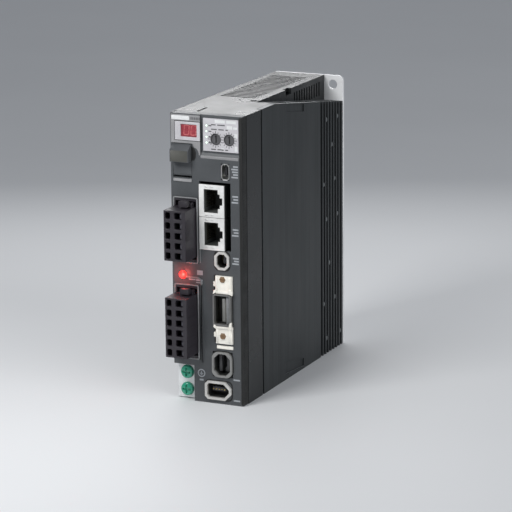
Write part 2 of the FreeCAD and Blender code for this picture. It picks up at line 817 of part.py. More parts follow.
def makeHeatsink():
    body = newBody("heatsink")
    rear_edge = "rear_y - plate_thickness"
    base_right = "body_side_x + sink_base_thickness"
    wall_left = "half_width - sink_wall_thickness"
    pad(body, "base", "XY", 0, "case_height",
        [rectangle("body_side_x", base_right, "sink_base_front_y", rear_edge)])
    front_rib = rectangle(shifted(base_right, "-sink_in"), "half_width", "sink_base_front_y",
                          "sink_base_front_y + sink_rib")
    pad(body, "front_rib", "XY", 0, "case_height", [front_rib])
    pad(body, "outer_wall", "XY", 0, "case_height",
        [rectangle(wall_left, "half_width", "sink_front_y", "sink_wall_rear_y")])
    for name, start in (("middle_rib", "sink_middle_rib_y"), ("rear_rib", "sink_wall_rear_y - sink_rib")):
        pad(body, name, "XY", 0, "case_height",
            [rectangle(shifted(base_right, "-sink_in"), "half_width - sink_in",
                       start, shifted(start, "sink_rib"))])
    fin = pad(body, "fin", "XY", 0, "case_height",
              [rectangle(shifted(base_right, "-sink_in"), "half_width", "fin_first_y",
                         "fin_first_y + fin_thickness")])
    repeated(body, fin, "Y", "fin_pitch", "fin_count")
    # flat ejector bosses bridge neighbouring fins in two staggered columns and a middle one
    for index, (gap, height) in enumerate(ejectorBosses):
        centre_y = f"fin_first_y + fin_thickness + {gap} * fin_pitch + (fin_pitch - fin_thickness) / 2"
        pad(body, f"boss_{index}", "YZ", shifted(base_right, "-sink_in"), "half_width - boss_recess",
            [circle(centre_y, height, "boss_radius")])
    for level in ("low", "high"):
        middle_y = "(module_front_y + module_rear_y) / 2"
        tap = circle(middle_y, f"module_screw_{level}_z", "module_screw_radius")
        pocket(body, f"tap_{level}", "YZ", "body_side_x - overcut",
               "body_side_x + module_screw_length", [tap])
    past_rear = shifted(rear_edge, "overcut")
    slope = [
        ("shoulder_y", "case_height"), (past_rear, slopeHeight(past_rear)),
        (past_rear, "case_height + overcut"), ("shoulder_y", "case_height + overcut"),
    ]
    pocket(body, "slope", "YZ", "body_side_x - overcut", "half_width + overcut", [slope])
    top_band = [
        ("band_front_y", shifted(slopeHeight("band_front_y"), "-band_drop")),
        ("band_front_y", shifted(slopeHeight("band_front_y"), "-band_drop - band_height")),
        ("band_rear_y", shifted(slopeHeight("band_rear_y"), "-band_drop - band_height")),
        ("band_rear_y", shifted(slopeHeight("band_rear_y"), "-band_drop")),
    ]
    foot_band = [
        ("foot_band_front_y", "foot_band_front_z"), ("foot_band_rear_y", "foot_band_rear_z"),
        ("foot_band_rear_y", "foot_band_rear_z + foot_band_rear_height"),
        ("foot_band_front_y", "foot_band_front_z + foot_band_front_height"),
    ]
    for name, band in (("top_band", top_band), ("foot_band", foot_band)):
        pocket(body, name, "YZ", "half_width - band_depth", "half_width + overcut", [band])


# which gap between fins each boss sits in, and its height
ejectorBosses = (
    (0, 94.9), (0, 28.5), (1, 75.1), (1, 129.8), (1, 8.4), (2, 50.2),
    (3, 115), (4, 95.6), (4, 29.2), (5, 129.2), (5, 75.2), (6, 8),
)


def makeBackPlate():
    body = newBody("back_plate")
    front_side = "rear_y - plate_thickness"
    pad(body, "sheet_metal", "XZ", front_side, "rear_y",
        [rectangle("-half_width", "half_width", 0, "case_height")])
    for name in ("upper", "lower"):
        hole = circle(f"mount_hole_{name}_x", f"mount_hole_{name}_z", "mount_hole_radius")
        pocket(body, f"{name}_hole", "XZ", shifted(front_side, "-overcut"), "rear_y + overcut", [hole])
    rounded(body, "corners", "plate_corner", lambda edge: edge.BoundBox.YLength > exact
            and abs(abs(edge.BoundBox.XMin) - dimensions["half_width"]) < near
            and max(edge.BoundBox.XLength, edge.BoundBox.ZLength) < exact
            and (edge.BoundBox.XMin > 0) == (edge.BoundBox.ZMin > dimensions["case_height"] / 2))


# ---------------------------------------------------------------- display and address switches

def makeDisplay():
    bezel = newBody("display_bezel")
    bezel_front = "front_y - bezel_proud"
    pad(bezel, "rim", "XZ", bezel_front, front("bezel_depth"),
        [rectangle("bezel_left_x", "bezel_right_x", "bezel_low_z", "bezel_high_z")])
    screen = rectangle("screen_left_x", "screen_right_x", "screen_low_z", "screen_high_z")
    pocket(bezel, "screen_opening", "XZ", shifted(bezel_front, "-overcut"),
           front("bezel_depth + overcut"), [screen])
    node(box("lens", ("screen_left_x", "screen_right_x"), ("front_y", front("lens_depth")),
             ("screen_low_z", "screen_high_z")), "display_window")
    node(box("digits", ("screen_left_x - digit_margin_x", "screen_right_x + digit_margin_x"),
             (front("digit_front"), front("digit_back")),
             ("screen_low_z - digit_margin_z", "screen_high_z + digit_margin_z")), "digit_display")
    board = newBody("display_board")
    corners = [
        ("display_board_left_x", "display_board_low_z"), ("display_board_middle_x", "display_board_low_z"),
        ("display_board_middle_x", "display_board_middle_z"),
        ("display_board_right_x", "display_board_middle_z"),
        ("display_board_right_x", "display_board_high_z"), ("display_board_left_x", "display_board_high_z"),
    ]
    pad(board, "laminate", "XZ", front("digit_back"), front("digit_back + board_thickness"), [corners])


def makeLabelPanel():
    body = newBody("label_panel")
    low_y = front("label_step_depth - label_thickness")
    high_y = front("label_step_depth")
    pad(body, "sheet_part", "XZ", low_y, high_y,
        [rectangle("label_left_x", "label_right_x", "label_low_z", "label_high_z")])
    for side in ("left", "right"):
        pocket(body, f"dial_hole_{side}", "XZ", shifted(low_y, "-overcut"), shifted(high_y, "overcut"),
               [circle(f"dial_{side}_x", "dial_z", "dial_hole_radius")])
    lamp = pocket(body, "lamp_hole", "XZ", shifted(low_y, "-overcut"), shifted(high_y, "overcut"),
                  [circle("lamp_x", "lamp_first_z", "lamp_radius")])
    repeated(body, lamp, "Z", "lamp_pitch", "lamp_count")


def makeStatusLamps():
    lamps = [rod(f"lamp_{index}", "Y", "lamp_radius", front("lamp_recess"), front("digit_back"), "lamp_x",
                 f"lamp_first_z + {index} * lamp_pitch")
             for index in range(dimensions["lamp_count"])]
    node(group("lamp_group", lamps), "status_lamps")


def makeAddressSwitch(side):
    centre_x = f"dial_{side}_x"
    base = box(f"switch_block_{side}", (f"{centre_x} - switch_half", f"{centre_x} + switch_half"),
               (front("switch_front"), front("digit_back")),
               ("dial_z - switch_half", "dial_z + switch_half"))
    bore = rod(f"switch_bore_{side}", "Y", "dial_shaft_radius + dial_shaft_gap",
               front("switch_front - overcut"), front("dial_shaft_end + dial_shaft_room"),
               centre_x, "dial_z")
    node(cut(f"switch_{side}", base, [bore]), f"address_switch_{side}")
    dial = newBody(f"address_dial_{side}")
    pad(dial, f"disc_{side}", "XZ", front("dial_front"), front("dial_back"),
        [circle(centre_x, "dial_z", "dial_radius")])
    pad(dial, f"shaft_{side}", "XZ", front("dial_back"), front("dial_shaft_end"),
        [circle(centre_x, "dial_z", "dial_shaft_radius")])
    arrow = [
        (shifted(centre_x, "-dial_slot_width / 2"), "dial_z - arrow_tail"),
        (shifted(centre_x, "dial_slot_width / 2"), "dial_z - arrow_tail"),
        (shifted(centre_x, "dial_slot_width / 2"), "dial_z + arrow_neck"),
        (shifted(centre_x, "arrow_half"), "dial_z + arrow_neck"),
        (centre_x, "dial_z + arrow_tip"),
        (shifted(centre_x, "-arrow_half"), "dial_z + arrow_neck"),
        (shifted(centre_x, "-dial_slot_width / 2"), "dial_z + arrow_neck"),
    ]
    pocket(dial, f"arrow_{side}", "XZ", front("dial_front - overcut"),
           front("dial_front + dial_slot_depth"), [arrow])


# ---------------------------------------------------------------- port flap

def makePortFlap():
    flap = newBody("port_flap")
    profile = [
        ("front_y", "flap_axis_z"), ("front_y", "grip_low_z"),
        ("front_y - grip_proud", "grip_low_z"), ("front_y - grip_proud", "grip_high_z"),
        ("front_y", "flap_top_z"), (front("flap_thickness"), "flap_top_z"),
        (front("flap_thickness"), "flap_axis_z"),
    ]
    pad(flap, "panel", "YZ", "flap_left_x", "flap_right_x", [profile])
    pad(flap, "barrel", "YZ", "flap_left_x", "flap_right_x",
        [circle("flap_axis_y", "flap_axis_z", "flap_barrel_radius")])
    pocket(flap, "pin_bore", "YZ", "flap_left_x - overcut", "flap_right_x + overcut",
           [circle("flap_axis_y", "flap_axis_z", "flap_pin_radius + flap_pin_gap")])
    node(rod("hinge_rod", "X", "flap_pin_radius", "flap_left_x - flap_pin_left_reach",
             "flap_right_x + flap_pin_right_reach", "flap_axis_y", "flap_axis_z"), "flap_pin")
    shell = box("interlock_block", ("flap_left_x + interlock_side", "flap_right_x - interlock_side"),
                (front("interlock_front"), front("interlock_front + interlock_depth")),
                ("interlock_low_z", "interlock_high_z"))
    mouth = box("interlock_mouth", ("flap_left_x + interlock_side + interlock_wall",
                                     "flap_right_x - interlock_side - interlock_wall"),
                (front("interlock_front - overcut"),
                 front("interlock_front + interlock_depth - interlock_wall")),
                ("interlock_low_z + interlock_wall", "interlock_high_z - interlock_wall"))
    node(cut("interlock_shell", shell, [mouth]), "interlock_header")


# ---------------------------------------------------------------- front ports

def makeServicePort():
    shell = newBody("service_port_shell")
    back = front("service_back")
    pad(shell, "can", "XZ", front("service_recess"), back,
        [chamfered("service_left_x", "service_right_x", "service_low_z", "service_high_z",
                   "service_corner")])
    pocket(shell, "mouth", "XZ", front("-overcut"), shifted(back, "-service_floor"),
           [chamfered("service_left_x + service_skin", "service_right_x - service_skin",
                      "service_low_z + service_skin", "service_high_z - service_skin",
                      "service_inner_corner")])
    middle_x = "(service_left_x + service_right_x) / 2"
    node(box("tongue", (shifted(middle_x, "-service_tongue_width / 2"),
                        shifted(middle_x, "service_tongue_width / 2")),
             (front("service_tongue_recess"), shifted(back, "-service_floor")),
             ("service_low_z + service_tongue_margin", "service_high_z - service_tongue_margin")),
         "service_port_tongue")


def jackMouth(centre_z):
    """The socket's stepped outline, with the latch notch on its right."""
    reach = [
        ("jack_mouth_left_x", "-jack_mouth_half"), ("jack_mouth_right_x", "-jack_mouth_half"),
        ("jack_mouth_right_x", "-jack_step_half"), ("jack_step_x", "-jack_step_half"),
        ("jack_step_x", "-jack_latch_half"), ("jack_latch_x", "-jack_latch_half"),
        ("jack_latch_x", "jack_latch_half"), ("jack_step_x", "jack_latch_half"),
        ("jack_step_x", "jack_step_half"), ("jack_mouth_right_x", "jack_step_half"),
        ("jack_mouth_right_x", "jack_mouth_half"), ("jack_mouth_left_x", "jack_mouth_half"),
    ]
    return [(x, shifted(centre_z, z)) for x, z in reach]


def makeNetworkJack(name):
    centre_z = f"jack_{name}_z"
    low_z = f"{centre_z} - jack_half_height + jack_gap"
    high_z = f"{centre_z} + jack_half_height - jack_gap"
    face = "front_y - jack_proud"
    back = front("jack_back")
    shield = newBody(f"network_jack_{name}")
    pad(shield, f"can_{name}", "XZ", face, back, [rectangle("jack_left_x", "jack_right_x", low_z, high_z)])
    hollow = rectangle("jack_left_x + jack_skin", "jack_right_x - jack_skin",
                       shifted(low_z, "jack_skin"), shifted(high_z, "-jack_skin"))
    pocket(shield, f"hollow_{name}", "XZ", shifted(face, "jack_skin"), shifted(back, "overcut"), [hollow])
    pocket(shield, f"mouth_{name}", "XZ", shifted(face, "-overcut"), shifted(face, "jack_skin + jack_lip"),
           [jackMouth(centre_z)])
    insert = newBody(f"network_insert_{name}")
    pad(insert, f"core_{name}", "XZ", shifted(face, "jack_skin"), back, [hollow])
    pocket(insert, f"socket_{name}", "XZ", shifted(face, "-overcut"), front("jack_mouth_back"),
           [jackMouth(centre_z)])
    contacts = []
    for index in range(dimensions["contact_count"]):
        z = f"{centre_z} + ({index} - (contact_count - 1) / 2) * contact_pitch"
        contacts.append(box(f"contact_{name}_{index}",
                            ("jack_mouth_left_x", "jack_mouth_left_x + contact_thickness"),
                            (front("contact_front"), front("jack_mouth_back")),
                            (f"{z} - contact_width / 2", f"{z} + contact_width / 2")))
    node(group(f"contact_group_{name}", contacts), f"network_contacts_{name}")


def makeSafetyPort():
    shell = newBody("safety_port_shell")
    back = front("safety_back")
    pad(shell, "ring", "XZ", "front_y - safety_proud", back,
        [chamfered("safety_left_x", "safety_right_x", "safety_low_z", "safety_high_z",
                   "safety_corner")])
    pocket(shell, "socket", "XZ", "front_y - safety_proud - overcut", front("safety_floor"),
           [chamfered("safety_left_x + safety_wall", "safety_right_x - safety_wall",
                      "safety_low_z + safety_wall", "safety_high_z - safety_wall",
                      "safety_inner_corner")])
    blades("safety", 4, "safety_pin_spread")


def blades(name, rows, spread):
    """Two short columns of flat pins on the floor of a port, close to its side walls."""
    middle_z = f"({name}_low_z + {name}_high_z) / 2"
    floor = "safety_floor" if name == "safety" else "port_floor"
    columns = (f"{name}_left_x + blade_inset", f"{name}_right_x - blade_inset - blade_thickness")
    pins = []
    for column, side in enumerate(columns):
        for row in range(rows):
            z = f"{middle_z} + ({row} / {rows - 1} - 0.5) * {spread}"
            pins.append(box(f"{name}_pin_{column}_{row}", (side, shifted(side, "blade_thickness")),
                            (front(f"{floor} - pin_length"), front(floor)),
                            (shifted(z, "-blade_half"), shifted(z, "blade_half"))))
    node(group(f"{name}_pins", pins), f"{name}_port_pins")


def makeSignalPort():
    shell = newBody("signal_port_shell")
    face = "front_y - signal_proud"
    pad(shell, "can", "XZ", face, front("signal_back"),
        [chamfered("signal_left_x", "signal_right_x", "signal_low_z", "signal_high_z",
                   "signal_corner")])
    pocket(shell, "mouth", "XZ", shifted(face, "-overcut"), front("signal_floor"),
           [chamfered("signal_left_x + signal_skin", "signal_right_x - signal_skin",
                      "signal_low_z + signal_skin", "signal_high_z - signal_skin",
                      "signal_inner_corner")])
    tongue = newBody("signal_port_tongue")
    pad(tongue, "blade", "XZ", shifted(face, "signal_tongue_recess"), front("signal_floor"),
        [rectangle("signal_tongue_left_x", "signal_tongue_right_x",
                   "signal_tongue_low_z", "signal_tongue_high_z")])
    levels = {
        "upper": ("signal_high_z + post_gap", "signal_high_z + post_gap + post_height"),
        "lower": ("signal_low_z - post_gap - post_height", "signal_low_z - post_gap"),
    }
    screws = []
    post_face = "front_y - post_proud"
    head_face = shifted(post_face, "-post_screw_height")
    for name, (low, high) in levels.items():
        screw_z = f"post_screw_{name}_z"
        post = newBody(f"signal_post_{name}")
        pad(post, f"tower_{name}", "XZ", post_face, front("post_back"),
            [rectangle("post_left_x", "post_right_x", low, high)])
        lug_low = f"post_lug_{name}_z"
        pad(post, f"lug_{name}", "XZ", shifted(post_face, "post_lug_recess"), front("post_back"),
            [rectangle("post_left_x - post_lug_width", "post_left_x + sink_in", lug_low,
                       shifted(lug_low, "post_lug_height"))])
        pocket(post, f"screw_hole_{name}", "XZ", shifted(post_face, "-overcut"), front("post_hole_end"),
               [circle("post_screw_x", screw_z, "post_screw_shank")])
        head = rod(f"post_head_{name}", "Y", "post_screw_radius", head_face, post_face,
                   "post_screw_x", screw_z)
        shank = rod(f"post_shank_{name}", "Y", "post_screw_shank", post_face, front("post_screw_end"),
                    "post_screw_x", screw_z)
        drive_slot = box(f"post_slot_{name}",
                         ("post_screw_x - 2 * post_screw_radius", "post_screw_x + 2 * post_screw_radius"),
                         (shifted(head_face, "-overcut"), shifted(head_face, "post_slot_depth")),
                         (shifted(screw_z, "-post_slot_half"), shifted(screw_z, "post_slot_half")))
        screws.append(cut(f"post_screw_{name}", fused(f"post_bolt_{name}", [head, shank]), [drive_slot]))
    node(group("post_screws", screws), "signal_post_screws")


def makeFeedbackPort(name):
    """A socket with a collar: round-cornered for the scale, with a blunt nose for the encoder."""
    sides = [f"{name}_left_x", f"{name}_right_x", f"{name}_low_z", f"{name}_high_z"]
    wall = f"{name}_wall"
    inner = [f"{sides[0]} + {wall}", f"{sides[1]} - {wall}", f"{sides[2]} + {wall}", f"{sides[3]} - {wall}"]
    face = "front_y - port_proud"
    shell = newBody(f"{name}_port_shell")
    if name == "scale":
        pad(shell, "collar_scale", "XZ", face, front("port_back"), [rectangle(*sides)])
        rounded(shell, "collar_corners", "scale_corner",
                lambda edge: edge.BoundBox.YLength > dimensions["port_back"])
        mouth = chamfered(*inner, "scale_inner_corner")
    else:
        pad(shell, "collar_encoder", "XZ", face, front("port_back"),
            [chamfered(*sides, "encoder_blunt_corner", "encoder_sharp_corner")])
        mouth = chamfered(*inner, "encoder_blunt_corner - encoder_inner_shrink",
                          "encoder_sharp_corner - encoder_inner_shrink")
    pocket(shell, f"socket_{name}", "XZ", shifted(face, "-overcut"), front("port_floor"), [mouth])
    blades(name, 3, f"{name}_pin_spread")


# ---------------------------------------------------------------- lamp and earth terminals

def makeChargeLamp():
    dome = document.addObject("Part::Sphere", "charge_dome")
    dome.setExpression("Radius", bound("charge_dome_radius"))
    for base, place in zip("xyz", ("charge_x", front("charge_dome_radius - charge_proud"), "charge_z")):
        dome.setExpression(f"Placement.Base.{base}", bound(place))
    stem = rod("charge_stem", "Y", "charge_radius", front("-charge_proud - overcut"), front("charge_back"),
               "charge_x", "charge_z")
    tip = rod("charge_body", "Y", "charge_radius", front("charge_body_depth"), front("charge_back"),
              "charge_x", "charge_z")
    cap = document.addObject("Part::Common", "charge_cap")
    cap.Base = dome
    cap.Tool = stem
    node(fused("charge_lens", [cap, tip]), "charge_lamp")


def makeEarthTerminals():
    plate = newBody("earth_plate")
    front_y = front("earth_front")
    back_y = front("earth_front + earth_plate")
    pad(plate, "face", "XZ", front_y, back_y,
        [rectangle("earth_left_x", "earth_right_x", "earth_low_z", "earth_notch_high_z - earth_gap")])
    pad(plate, "tail", "XZ", shifted(back_y, "-sink_in"), "earth_tail_end_y",
        [rectangle("earth_tail_left_x", "earth_tail_right_x",
                   "earth_notch_high_z - earth_gap - earth_plate", "earth_notch_high_z - earth_gap")])
    screws = []
    for level in ("low", "high"):
        z = f"earth_screw_{level}_z"
        pocket(plate, f"tap_{level}", "XZ", shifted(front_y, "-overcut"), shifted(back_y, "overcut"),
               [circle("earth_screw_x", z, "earth_shank_radius")])
        head = rod(f"earth_head_{level}", "Y", "earth_head_radius",
                   shifted(front_y, "-earth_head_height"), front_y, "earth_screw_x", z)
        shank = rod(f"earth_shank_{level}", "Y", "earth_shank_radius", front_y,
                    shifted(front_y, "earth_shank_length"), "earth_screw_x", z)
        cross = [
            box(f"earth_cross_{level}_{way}", ("earth_screw_x - " + wide, "earth_screw_x + " + wide),
                (shifted(front_y, "-earth_head_height - overcut"),
                 shifted(front_y, "-earth_head_height + cross_depth")),
                (f"{z} - {high}", f"{z} + {high}"))
            for way, wide, high in (("flat", "cross_length / 2", "cross_width / 2"),
                                    ("upright", "cross_width / 2", "cross_length / 2"))
        ]
        screws.append(cut(f"earth_screw_{level}", fused(f"earth_bolt_{level}", [head, shank]), cross))
    node(group("earth_bolts", screws), "earth_screws")


# ---------------------------------------------------------------- terminal blocks

def rowCentre(name, index):
    return f"{name}_first_z + {index} * row_pitch"


def makeTerminalHeader(name, rows):
    plug_low = f"{name}_first_z - row_margin"
    plug_high = f"{name}_first_z + ({name}_rows - 1) * row_pitch + row_margin"
    cavity = rectangle("header_cavity_left_x", "header_cavity_right_x",
                       shifted(plug_low, "-header_margin_low"), shifted(plug_high, "header_margin_high"))
    header = newBody(f"{name}_header")
    pad(header, f"rim_{name}", "XZ", "front_y - header_proud", front("cover_depth - sink_in"),
        [headerOutline(name)])
    outline_points = headerOutline(name)
    rear = rectangle("header_box_left_x", "header_right_x", outline_points[0][1], outline_points[2][1])
    pad(header, f"block_{name}", "XZ", front("cover_depth - 2 * sink_in"), "header_back_y", [rear])
    pocket(header, f"cavity_{name}", "XZ", "front_y - overcut", "header_floor_y", [cavity])
    hole = pocket(header, f"pin_hole_{name}", "XZ", "header_floor_y - overcut", "header_back_y + overcut",
                  [rectangle("wire_x - pin_half", "wire_x + pin_half",
                             f"{name}_first_z - pin_half", f"{name}_first_z + pin_half")])
    repeated(header, hole, "Z", "row_pitch", f"{name}_rows")
    pins = []
    for index in range(rows):
        z = rowCentre(name, index)
        blade = box(f"{name}_pin_{index}", ("wire_x - pin_half", "wire_x + pin_half"),
                    ("pin_tip_y", "pin_bend_y"), (f"{z} - pin_half", f"{z} + pin_half"))
        tail = box(f"{name}_tail_{index}", ("wire_x", "power_board_x"),
                   ("pin_bend_y - pin_half * 2", "pin_bend_y"), (f"{z} - pin_half", f"{z} + pin_half"))
        pins.append(fused(f"{name}_contact_{index}", [blade, tail]))
    node(group(f"{name}_pin_group", pins), f"{name}_pins")


def makeTerminalPlug(name, rows):
    low = f"{name}_first_z - row_margin"
    high = f"{name}_first_z + ({name}_rows - 1) * row_pitch + row_margin"
    plug = newBody(f"{name}_plug")
    pad(plug, f"grip_{name}", "XZ", "plug_front_y", "plug_shoulder_y",
        [rectangle("plug_left_x", "plug_right_x", low, high)])
    pad(plug, f"nose_{name}", "XZ", "plug_shoulder_y - sink_in", "plug_nose_y",
        [rectangle("plug_nose_left_x", "plug_nose_right_x", low, high)])
    first = f"{name}_first_z"
    cuts = {
        "wire_entry": ("plug_front_y - overcut", "plug_front_y + wire_depth",
                       rectangle("wire_left_x", "wire_right_x",
                                 f"{first} - entry_half", f"{first} + entry_half")),
        "release": ("plug_front_y - overcut", "plug_front_y + release_depth",
                    rectangle("release_left_x", "release_right_x",
                              f"{first} - entry_half", f"{first} + entry_half")),
        "chamber": ("cage_front_y", "plug_nose_y + overcut",
                    rectangle("cage_left_x", "cage_right_x",
                              f"{first} - cage_half", f"{first} + cage_half")),
    }
    for cut_name, (near, far, loop) in cuts.items():
        feature = pocket(plug, f"{cut_name}_{name}", "XZ", near, far, [loop])
        repeated(plug, feature, "Z", "row_pitch", f"{name}_rows")
    axis_z = f"{high} + latch_axis_rise"
    ears = (("left", "latch_left_x - latch_ear_gap - latch_ear_thickness"),
            ("right", "latch_right_x + latch_ear_gap"))
    for side, start in ears:
        ear = rectangle("latch_axis_y - latch_ear_reach", "latch_axis_y + latch_ear_reach",
                        f"{high} - sink_in", f"{high} + latch_ear_height")
        pad(plug, f"ear_{side}_{name}", "YZ", start, shifted(start, "latch_ear_thickness"), [ear])
    pocket(plug, f"trunnion_bore_{name}", "YZ", "latch_left_x - 2 * overcut", "latch_right_x + 2 * overcut",
           [circle("latch_axis_y", axis_z, "latch_trunnion_radius + latch_trunnion_gap")])
    cages = []
    for index in range(rows):
        z = rowCentre(name, index)
        block = box(f"{name}_cage_{index}", ("cage_left_x + cage_gap", "cage_right_x - cage_gap"),
                    ("cage_front_y + cage_gap", "plug_nose_y - cage_rear_gap"),
                    (f"{z} - cage_half + cage_gap", f"{z} + cage_half - cage_gap"))
        tunnel = box(f"{name}_cage_hole_{index}", ("wire_x - pin_socket_half", "wire_x + pin_socket_half"),
                     ("cage_front_y - overcut", "plug_nose_y"),
                     (f"{z} - pin_socket_half", f"{z} + pin_socket_half"))
        spring_gap = box(f"{name}_cage_gap_{index}", ("cage_slot_left_x", "cage_slot_right_x"),
                         ("cage_front_y + cage_slot_front", "plug_nose_y - cage_slot_rear"),
                         (f"{z} - cage_half", f"{z} + cage_half"))
        cages.append(cut(f"{name}_clamp_{index}", block, [tunnel, spring_gap]))
    node(group(f"{name}_cage_group", cages), f"{name}_clamps")
    makeLatch(name, high, axis_z)


def makeLatch(name, plug_top, axis_z):
    """A rocker on the plug: lifting the pad lowers the hook."""
    latch = newBody(f"{name}_latch")
    pad(latch, f"hub_{name}", "YZ", "latch_left_x", "latch_right_x",
        [circle("latch_axis_y", axis_z, "latch_hub_radius")])
    profile = [
        ("latch_pad_front_y", f"{plug_top} + latch_pad_low"),
        ("latch_pad_back_y", f"{plug_top} + latch_pad_low"),
        ("latch_axis_y", f"{plug_top} + latch_arm_low"),
        ("latch_arm_end_y", f"{plug_top} + latch_arm_low"),
        ("latch_arm_end_y", f"{plug_top} + latch_arm_high"),
        ("latch_arm_end_y - latch_hook_nose", f"{plug_top} + latch_hook_high"),
        ("latch_arm_end_y - latch_hook_length", f"{plug_top} + latch_hook_high"),
        ("latch_arm_end_y - latch_hook_length", f"{plug_top} + latch_arm_high"),
        ("latch_axis_y", f"{plug_top} + latch_arm_high"),
        ("latch_pad_back_y", f"{plug_top} + latch_pad_high"),
        ("latch_pad_front_y", f"{plug_top} + latch_pad_high"),
    ]
    pad(latch, f"rocker_{name}", "YZ", "latch_left_x", "latch_right_x", [profile])
    starts = {"left": "latch_left_x - latch_trunnion_length", "right": "latch_right_x - sink_in"}
    for side, start in starts.items():
        pad(latch, f"trunnion_{side}_{name}", "YZ", start, shifted(start, "latch_trunnion_length + sink_in"),
            [circle("latch_axis_y", axis_z, "latch_trunnion_radius")])


# ---------------------------------------------------------------- boards and power parts

def makeBoards():
    node(box("logic_board", ("control_board_x", "control_board_x + board_thickness"),
             (front("control_board_front"), "control_board_rear_y"),
             ("control_board_low_z", "control_board_high_z")), "control_board")
    board_right = "power_board_x + power_board_thickness"
    node(box("supply_board", ("power_board_x", board_right),
             ("power_board_front_y", "power_board_rear_y"),
             ("power_board_low_z", "power_board_high_z")), "power_board")
    node(box("link_block", (board_right, "control_board_x"), ("link_front_y", "link_rear_y"),
             ("link_low_z", "link_high_z")), "board_link")
    chips = [
        box("processor", ("chip_left_x", "control_board_x"), ("chip_front_y", "chip_rear_y"),
            ("chip_low_z", "chip_high_z")),
        box("network_chip", ("phy_left_x", "control_board_x"), ("chip_front_y", "phy_rear_y"),
            ("phy_low_z", "phy_high_z")),
    ]
    node(group("logic_chips", chips), "control_chips")


def makePowerModule():
    board_right = "power_board_x + power_board_thickness"
    block = box("module_block", ("module_left_x", "module_right_x"),
                ("module_front_y", "module_rear_y"), ("module_low_z", "module_high_z"))
    middle_y = "(module_front_y + module_rear_y) / 2"
    levels = ("low", "high")
    holes = [rod(f"module_hole_{level}", "X", "module_slot_radius", "module_left_x - overcut",
                 "module_right_x + overcut", middle_y, f"module_screw_{level}_z") for level in levels]
    pins = []
    for side, y in (("front", "module_front_y + module_pin_inset"),
                    ("rear", "module_rear_y - module_pin_inset")):
        for index in range(dimensions["module_pin_count"]):
            z = f"module_low_z + module_pin_first + {index} * module_pin_pitch"
            pins.append(box(f"module_pin_{side}_{index}", (board_right, "module_left_x + module_pin_sink"),
                            (shifted(y, "-module_pin_half"), shifted(y, "module_pin_half")),
                            (f"{z} - module_pin_half", f"{z} + module_pin_half")))
    node(fused("module_with_pins", [cut("module_body", block, holes)] + pins), "power_module")
    pad_block = box("pad_block", ("module_right_x", "body_side_x"), ("module_front_y", "module_rear_y"),
                    ("module_low_z", "module_high_z"))
    pad_holes = [rod(f"pad_hole_{level}", "X", "module_slot_radius", "module_right_x - overcut",
                     "body_side_x + overcut", middle_y, f"module_screw_{level}_z")
                 for level in levels]
    node(cut("pad_sheet", pad_block, pad_holes), "thermal_pad")
    screws = []
    for level in ("low", "high"):
        z = f"module_screw_{level}_z"
        head = rod(f"module_head_{level}", "X", "module_head_radius",
                   "module_left_x - module_head_height", "module_left_x", middle_y, z)
        shank = rod(f"module_shank_{level}", "X", "module_screw_radius", "module_left_x",
                    "body_side_x + module_screw_length", middle_y, z)
        screws.append(fused(f"module_screw_{level}", [head, shank]))
    node(group("module_bolts", screws), "module_screws")


def makePowerParts():
    capacitors = []
    for index in range(dimensions["capacitor_count"]):
        z = f"capacitor_first_z + {index} * capacitor_pitch"
        can = rod(f"can_{index}", "Y", "capacitor_radius", "capacitor_front_y",
                  "capacitor_front_y + capacitor_length", "capacitor_x", z)
        lead = rod(f"lead_{index}", "X", "capacitor_lead_radius", "capacitor_x", "power_board_x",
                   "capacitor_front_y - capacitor_lead_offset", z)
        stub = rod(f"stub_{index}", "Y", "capacitor_lead_radius", "capacitor_front_y - capacitor_lead_reach",
                   "capacitor_front_y + capacitor_lead_reach", "capacitor_x", z)
        capacitors.append(fused(f"capacitor_{index}", [can, lead, stub]))
    node(group("capacitor_bank", capacitors), "bulk_capacitors")
    node(box("relay_case", ("relay_left_x", "power_board_x"), ("relay_front_y", "relay_rear_y"),
             ("relay_low_z", "relay_high_z")), "inrush_relay")
    board_right = "power_board_x + power_board_thickness"
    core = box("core_block", (board_right, "transformer_right_x"),
               ("transformer_front_y + transformer_coil_inset",
                "transformer_rear_y - transformer_coil_inset"),
               ("transformer_low_z", "transformer_high_z"))
    coil = box("coil_block", (board_right, "transformer_right_x - transformer_coil_lower"),
               ("transformer_front_y", "transformer_rear_y"),
               ("transformer_low_z + transformer_core", "transformer_high_z - transformer_core"))
    node(fused("transformer_block", [core, coil]), "supply_transformer")
    ring = rod("choke_ring", "X", "choke_outer_radius", "choke_x - choke_half_width",
               "choke_x + choke_half_width", "choke_y", "choke_z")
    bore = rod("choke_bore", "X", "choke_inner_radius", "choke_x - choke_half_width - overcut",
               "choke_x + choke_half_width + overcut", "choke_y", "choke_z")
    leg = box("choke_leg", ("choke_x + choke_half_width - sink_in", "power_board_x"),
              ("choke_y - choke_leg_half", "choke_y + choke_leg_half"),
              ("choke_leg_low_z", "choke_leg_high_z"))
    node(fused("choke_on_leg", [cut("choke_body", ring, [bore]), leg]), "line_choke")


def checkAndWrite():
    document.recompute()
    for item in document.Objects:
        if {"Invalid", "Error"} & set(item.State):
            raise RuntimeError(f"{item.Label} failed: {item.State}")
    os.makedirs("parts", exist_ok=True)
    for piece in nodes:
        if piece.Shape.isNull() or not piece.Shape.isValid():
            raise RuntimeError(f"{piece.Label} has no valid shape")
        piece.Shape.exportStep(f"parts/{piece.Label}.step")
        print(f"{piece.Label:24s} solids {len(piece.Shape.Solids):2d} volume {piece.Shape.Volume:9.1f}")
    print(len(nodes), "nodes")


